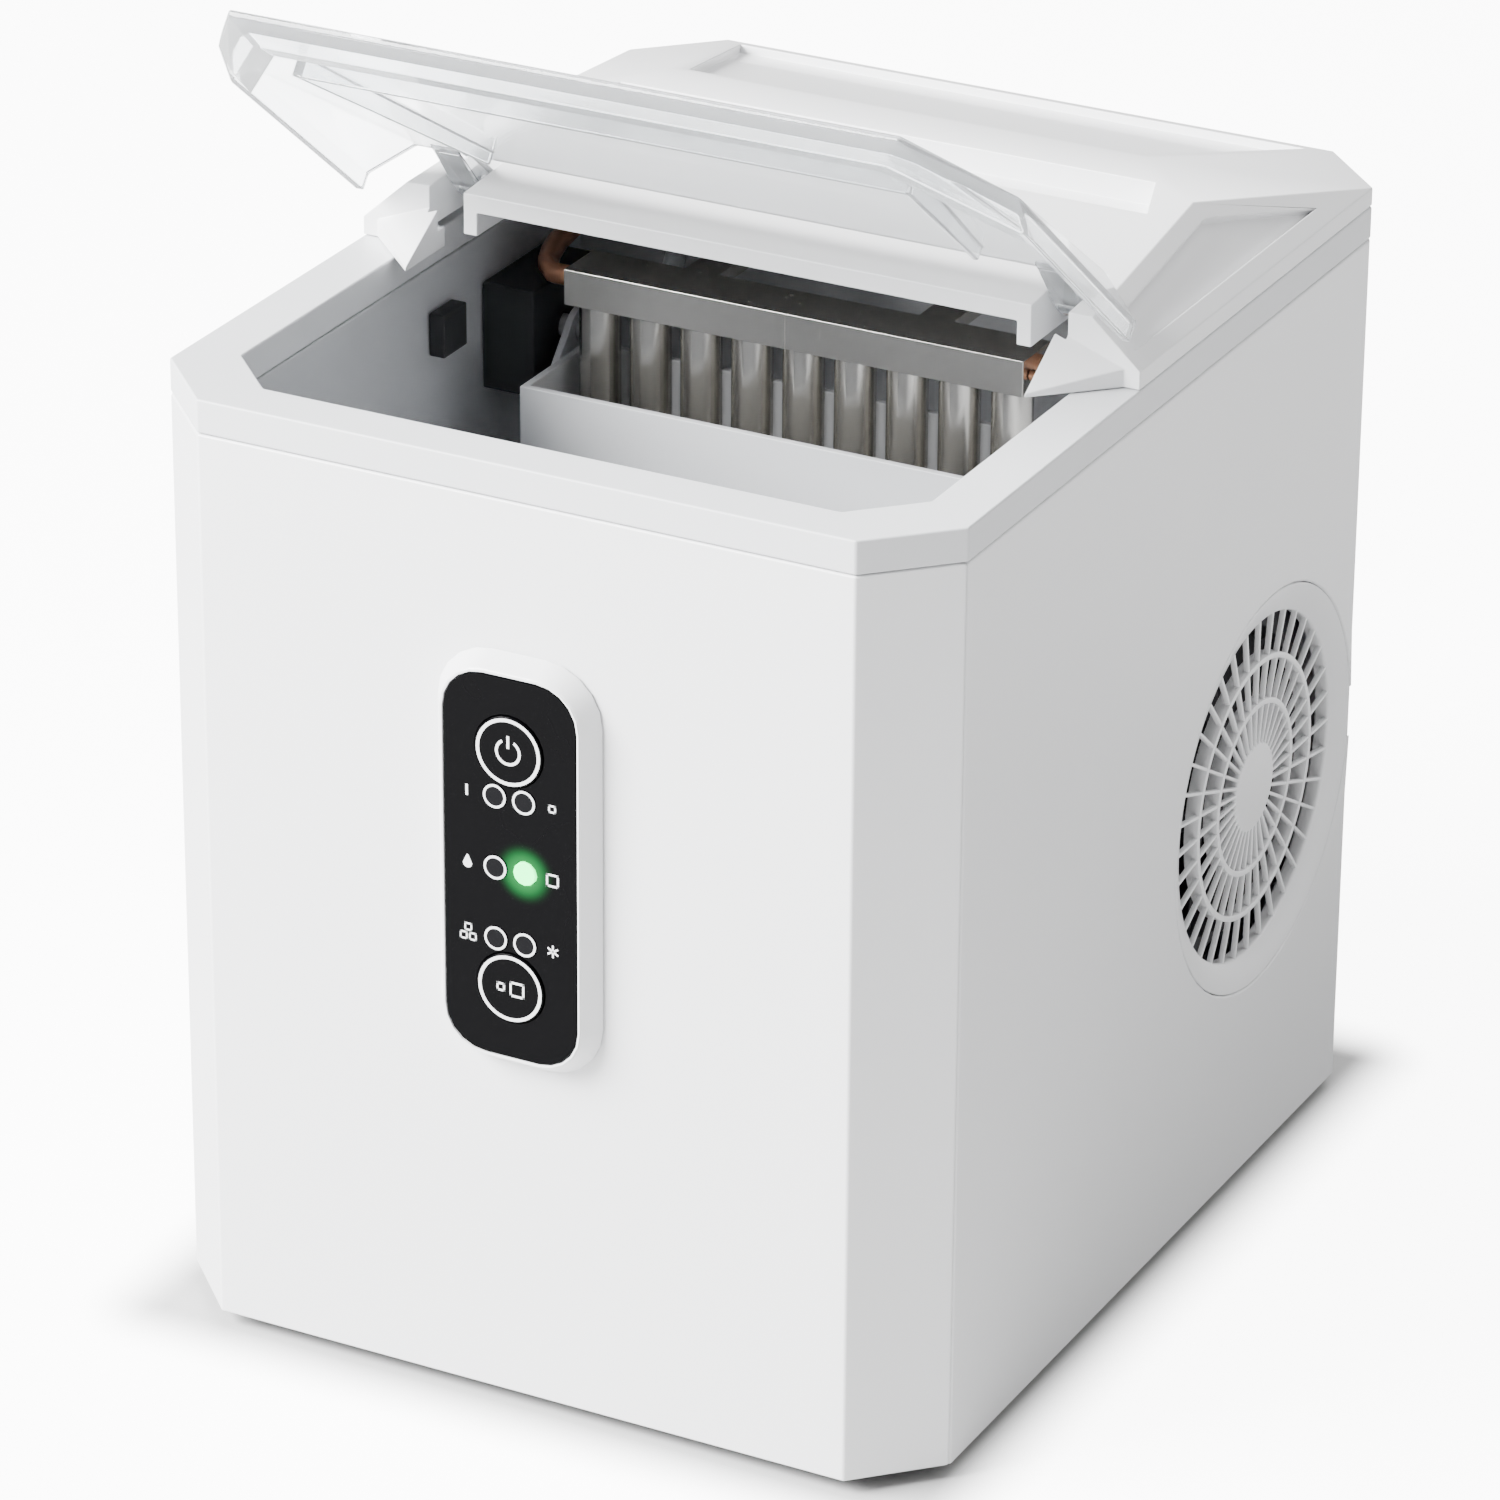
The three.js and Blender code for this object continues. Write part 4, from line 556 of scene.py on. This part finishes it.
def bar_print(centre, width, height, front, turn=0.0):
    """A printed bar, its corners cut."""
    bpy.ops.object.select_all(action="DESELECT")
    bpy.ops.mesh.primitive_cube_add(size=1.0, location=(centre[0], front, centre[1]),
                                    rotation=(0.0, turn, 0.0))
    bar = bpy.context.active_object
    bar.scale = (width, PRINT_T, height)
    settle(bar)
    return bevel(bar, PRINT_T * 0.3, 2)


def arc_print(centre, radius, width, front, gap_degrees):
    """A printed ring with a gap at its top."""
    ring = ring_print("arc", centre, radius, width, front)
    half = math.radians(gap_degrees / 2)
    reach = 1.5 * radius

    def open_top():
        bpy.ops.mesh.select_all(action="DESELECT")
        bpy.ops.object.mode_set(mode="OBJECT")
        for face in ring.data.polygons:
            middle = face.center - Vector((centre[0], front, centre[1]))
            face.select = abs(math.atan2(middle.x, middle.z)) < half and middle.length < reach
        bpy.ops.object.mode_set(mode="EDIT")
        bpy.ops.mesh.delete(type="FACE")
        bpy.ops.mesh.select_all(action="SELECT")
        bpy.ops.mesh.region_to_loop()
        bpy.ops.mesh.edge_face_add()

    edit(ring, open_top)
    return ring


def make_power_sign(x, z, front):
    return join("power_sign", [
        arc_print((x, z), 3.6 * MM, 0.75 * MM, front, 66.0),
        bar_print((x, z + 2.7 * MM), 0.75 * MM, 3.4 * MM, front),
    ])


def make_select_sign(x, z, front):
    """A small and a large block side by side."""
    return join("select_sign", [
        square_print((x - 2.6 * MM, z), 2.4 * MM, 0.55 * MM, front),
        square_print((x + 2.0 * MM, z), 4.2 * MM, 0.6 * MM, front),
    ])


def square_print(centre, side, width, front):
    """A printed square outline."""
    x, z = centre
    reach = (side - width) / 2
    bars = [bar_print((x, z + s * reach), side, width, front) for s in (-1, 1)]
    bars += [bar_print((x + s * reach, z), width, side, front) for s in (-1, 1)]
    return join("square", bars)


def drop_print(centre, size, front):
    """A printed water drop."""
    bpy.ops.object.select_all(action="DESELECT")
    bpy.ops.mesh.primitive_cylinder_add(vertices=24, radius=size * 0.36, depth=PRINT_T,
                                        location=(centre[0], front, centre[1] - size * 0.14),
                                        rotation=(math.pi / 2, 0.0, 0.0))
    drop = settle(bpy.context.active_object)
    middle = centre[1] - size * 0.14
    for vertex in drop.data.vertices:
        up = (vertex.co.z - middle) / (size * 0.36)
        if up > 0:
            vertex.co.x = centre[0] + (vertex.co.x - centre[0]) * (1 - 0.45 * up)
            vertex.co.z += size * 0.3 * up * up
    return drop


def make_lamp_signs(front):
    """Small pictograms beside the lamps."""
    left, right = -SIGN_X, SIGN_X
    z = {lamp: ((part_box(f"lamp_{lamp}")[0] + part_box(f"lamp_{lamp}")[1]) / 2).z for lamp in LAMPS}
    return join("lamp_signs", [
        bar_print((left, z["power"]), 0.7 * MM, 3.0 * MM, front),
        square_print((right, z["small_ice"]), 2.2 * MM, 0.5 * MM, front),
        drop_print((left, z["add_water"]), 3.6 * MM, front),
        square_print((right, z["large_ice"]), 3.6 * MM, 0.55 * MM, front),
        square_print((left - 1.3 * MM, z["ice_full"] - 1.2 * MM), 2.2 * MM, 0.45 * MM, front),
        square_print((left + 1.3 * MM, z["ice_full"] - 1.2 * MM), 2.2 * MM, 0.45 * MM, front),
        square_print((left, z["ice_full"] + 1.3 * MM), 2.2 * MM, 0.45 * MM, front),
        *[bar_print((right, z["clean"]), 0.5 * MM, 3.4 * MM, front, turn) for turn in
          (0.0, math.pi / 3, -math.pi / 3)],
    ])


def make_controls():
    rounded_node("control_bezel", "white_shell", width=0.6 * MM, segments=4, angle=25.0)
    rounded_node("control_faceplate", "panel_black", width=0.15 * MM, segments=2)
    rounded_node("control_board", "circuit_board", width=0.2 * MM)
    for button, sign in (("power_button", make_power_sign), ("select_button", make_select_sign)):
        rounded_node(button, "panel_black", button, width=0.3 * MM)
        low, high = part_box(button)
        x, z = (low.x + high.x) / 2, (low.z + high.z) / 2
        front = low.y
        ring = ring_print("ring", (x, z), BUTTON_RING_R, RING_W, front)
        marks = join(f"{button}_print", [ring, sign(x, z, front)])
        dress(marks, None, button, finish="print")
    face_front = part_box("control_faceplate")[0].y
    rings = []
    for lamp in LAMPS:
        node = f"lamp_{lamp}"
        lit = lamp == "large_ice"
        rounded_node(node, "lamp_green" if lit else "lamp_off", width=0.35 * MM)
        low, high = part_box(node)
        if not lit:
            rings.append(ring_print("ring", ((low.x + high.x) / 2, (low.z + high.z) / 2),
                                    LAMP_RING_R, LAMP_RING_W, low.y))
    signs = join("lamp_print", [*rings, make_lamp_signs(face_front)])
    dress(signs, None, "housing", finish="print")


# ---------------------------------------------------------------- inside the opening

def make_inside():
    rounded_node("inner_tub", "tub_plastic", width=0.5 * MM)
    rounded_node("ice_basket", "basket_plastic", "ice_basket", width=0.5 * MM)
    rounded_node("evaporator", "nickel_plate", width=0.3 * MM)
    rounded_node("water_tray", "tub_plastic", "water_tray", width=0.3 * MM)
    rounded_node("ice_shovel", "basket_plastic", "ice_shovel", width=0.3 * MM)
    rounded_node("tray_motor", "dark_plastic", width=0.6 * MM)
    for side in ("left", "right"):
        rounded_node(f"ice_level_sensor_{side}", "dark_plastic", width=0.5 * MM)


# ---------------------------------------------------------------- fan

def turned_ring(name, x0, x1, inner, outer, centre, vertices=96):
    """A flat ring around the fan's axis, from x0 to x1."""
    bpy.ops.object.select_all(action="DESELECT")
    bpy.ops.mesh.primitive_circle_add(vertices=vertices, radius=outer, fill_type="NGON",
                                      location=(x0, centre.y, centre.z), rotation=(0.0, math.pi / 2, 0.0))
    ring = settle(bpy.context.active_object)
    ring.name = name
    edit(
        ring,
        lambda: bpy.ops.mesh.inset(thickness=outer - inner, depth=0.0),
        lambda: bpy.ops.mesh.delete(type="FACE"),
        lambda: bpy.ops.mesh.select_all(action="SELECT"),
        lambda: bpy.ops.mesh.extrude_region_move(TRANSFORM_OT_translate={"value": (x1 - x0, 0.0, 0.0)}),
        lambda: bpy.ops.mesh.select_all(action="SELECT"),
        lambda: bpy.ops.mesh.normals_make_consistent(inside=False),
    )
    return ring


def make_grille():
    """Sloping outer ring, hub, two rings and straight vanes."""
    low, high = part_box("fan_grille")
    centre = (low + high) / 2
    face = high.x
    floor = face - GRILLE_DISH
    back = floor - GRILLE_DEPTH

    frame_ring = turned_ring("grille_frame", back, face, GRILLE_HOLE_R, GRILLE_OUTER_R, centre)
    for vertex in frame_ring.data.vertices:
        away = Vector((0.0, vertex.co.y - centre.y, vertex.co.z - centre.z))
        if away.length < GRILLE_HOLE_R + 0.5 * MM and vertex.co.x > face - 0.1 * MM:
            vertex.co.x = floor
    parts = [bevel(frame_ring, 0.6 * MM, 3)]
    for radius in GRILLE_RING_R:
        parts.append(bevel(turned_ring("grille_ring", back, floor + 0.2 * MM, radius - 0.8 * MM,
                                       radius + 0.8 * MM, centre), 0.3 * MM, 2))

    bpy.ops.object.select_all(action="DESELECT")
    bpy.ops.mesh.primitive_cylinder_add(vertices=64, radius=GRILLE_HUB_R, depth=GRILLE_DEPTH,
                                        location=(floor - GRILLE_DEPTH / 2, centre.y, centre.z),
                                        rotation=(0.0, math.pi / 2, 0.0))
    parts.append(bevel(settle(bpy.context.active_object), 0.8 * MM, 4))

    span = GRILLE_HOLE_R - GRILLE_HUB_R + 2 * MM
    bpy.ops.object.select_all(action="DESELECT")
    bpy.ops.mesh.primitive_cube_add(
        size=1.0, location=(floor - VANE_DEPTH / 2, 0.0, GRILLE_HUB_R - MM + span / 2))
    vane = bpy.context.active_object
    vane.scale = (VANE_DEPTH, VANE_T, span)
    settle(vane)
    bevel(vane, 0.3 * MM, 2)
    for i in range(VANES):
        blade = vane.copy()
        blade.data = vane.data.copy()
        bpy.context.scene.collection.objects.link(blade)
        turn = Matrix.Translation(Vector((0.0, centre.y, centre.z))) @ Matrix.Rotation(
            2 * math.pi * i / VANES, 4, "X")
        blade.data.transform(turn)
        parts.append(blade)
    bpy.data.objects.remove(vane)
    grille = join("fan_grille_moulded", parts)
    smooth(grille, 35.0)
    dress(grille, "white_shell", "housing", "fan_grille")


def make_fan():
    make_grille()
    rounded_node("fan_housing", "dark_plastic", width=0.5 * MM)
    rounded_node("fan_motor", "motor_steel", width=0.4 * MM)
    rounded_node("fan_rotor", "dark_plastic", "fan_rotor", width=0.3 * MM)


# ---------------------------------------------------------------- cooling and water

def soft_tube(node, slot):
    """A bent tube, shaded as one smooth surface."""
    obj = fine_copy(node, f"{node}_drawn")
    smooth(obj, 70.0)
    return dress(obj, slot, "housing", node)


def make_cooling():
    rounded_node("compressor", "compressor_paint", width=0.8 * MM)
    rounded_node("condenser", "fin_aluminium", width=0.2 * MM)
    rounded_node("filter_drier", "copper", width=0.4 * MM)
    rounded_node("hot_gas_valve", "dark_plastic", width=0.5 * MM)
    for tube in ("discharge_tube", "liquid_tube", "capillary_tube", "suction_tube", "hot_gas_tube"):
        soft_tube(tube, "copper")


def make_water():
    rounded_node("water_pump", "dark_plastic", width=0.5 * MM)
    soft_tube("water_hose", "clear_hose")
    rounded_node("float_stem", "basket_plastic", width=0.3 * MM)
    rounded_node("level_float", "white_shell", "level_float", width=0.6 * MM)
    rounded_node("drain_hose", "clear_hose", width=0.3 * MM)
    rounded_node("drain_cap", "dark_plastic", "drain_cap", width=0.4 * MM)
    rounded_node("cord_gland", "rubber_black", width=0.4 * MM)


# ---------------------------------------------------------------- stage

def make_camera():
    azimuth, elevation, roll = (math.radians(a) for a in (CAMERA_AZIMUTH, CAMERA_ELEVATION, CAMERA_ROLL))
    back = Vector((math.sin(azimuth) * math.cos(elevation), -math.cos(azimuth) * math.cos(elevation),
                   math.sin(elevation)))
    level = Vector((math.cos(azimuth), math.sin(azimuth), 0.0))
    upright = back.cross(level)
    right = math.cos(roll) * level + math.sin(roll) * upright
    up = back.cross(right)
    data = bpy.data.cameras.new("camera")
    data.lens = CAMERA_LENS
    data.sensor_width = 36.0
    data.clip_end = 20.0
    camera = bpy.data.objects.new("camera", data)
    bpy.context.scene.collection.objects.link(camera)
    place = Matrix((right, up, back)).transposed().to_4x4()
    place.translation = CAMERA_TARGET + back * CAMERA_DISTANCE
    camera.matrix_world = place
    bpy.context.scene.camera = camera


def painted_shadow_fade(tree):
    """Painted contact shadow around the base: 0 under the base and 1 a little way off it."""
    low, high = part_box("base_pan")
    place = tree.nodes.new("ShaderNodeTexCoord").outputs["Object"]
    split = tree.nodes.new("ShaderNodeSeparateXYZ")
    tree.links.new(place, split.inputs["Vector"])
    squares = []
    for axis in "XY":
        at = math_node(tree, "ABSOLUTE", split.outputs[axis])
        half = (getattr(high, axis.lower()) - getattr(low, axis.lower())) / 2
        past = math_node(tree, "SUBTRACT", at, half)
        squares.append(math_node(tree, "POWER", math_node(tree, "MAXIMUM", past, 0.0), 2.0))
    away = math_node(tree, "SQRT", math_node(tree, "ADD", *squares))
    painted_shadow_ramp = tree.nodes.new("ShaderNodeMapRange")
    painted_shadow_ramp.interpolation_type = "SMOOTHSTEP"
    painted_shadow_ramp.inputs["From Max"].default_value = SHADOW_REACH
    tree.links.new(away, painted_shadow_ramp.inputs["Value"])
    return painted_shadow_ramp.outputs["Result"]


def make_floor():
    bpy.ops.object.select_all(action="DESELECT")
    bpy.ops.mesh.primitive_plane_add(size=FLOOR_SIZE, location=(0.0, 0.0, 0.0))
    floor = bpy.context.active_object
    floor.name = "floor"
    material, tree, shader = start_material("pale_floor", Roughness=0.6)
    shader.inputs["Base Color"].default_value = (FLOOR_GREY, FLOOR_GREY, FLOOR_GREY, 1.0)
    shader.inputs["Emission Color"].default_value = (1.0, 1.0, 1.0, 1.0)
    rays = tree.nodes.new("ShaderNodeLightPath")
    seen = math_node(tree, "ADD", rays.outputs["Is Camera Ray"],
                     rays.outputs["Is Transmission Ray"], True)
    # The floor's glow is dimmed near the base: a painted contact shadow.
    lit = math_node(tree, "MULTIPLY", seen, painted_shadow_fade(tree))
    tree.links.new(math_node(tree, "MULTIPLY", lit, FLOOR_GLOW), shader.inputs["Emission Strength"])
    floor.data.materials.append(material)


def area_light(name, place, aim, size, energy):
    data = bpy.data.lights.new(name, "AREA")
    data.shape = "SQUARE"
    data.size = size
    data.energy = energy
    light = bpy.data.objects.new(name, data)
    bpy.context.scene.collection.objects.link(light)
    light.location = place
    light.rotation_euler = (Vector(aim) - Vector(place)).to_track_quat("-Z", "Y").to_euler()


def make_light():
    for softbox in SOFTBOXES:
        area_light(*softbox)
    world = bpy.data.worlds.new("studio")
    world.use_nodes = True
    world.node_tree.nodes["Background"].inputs["Color"].default_value = (1.0, 1.0, 1.0, 1.0)
    world.node_tree.nodes["Background"].inputs["Strength"].default_value = WORLD_STRENGTH
    bpy.context.scene.world = world


make_camera()
make_floor()
make_light()
make_shell()
make_lid()
make_controls()
make_inside()
make_fan()
make_cooling()
make_water()
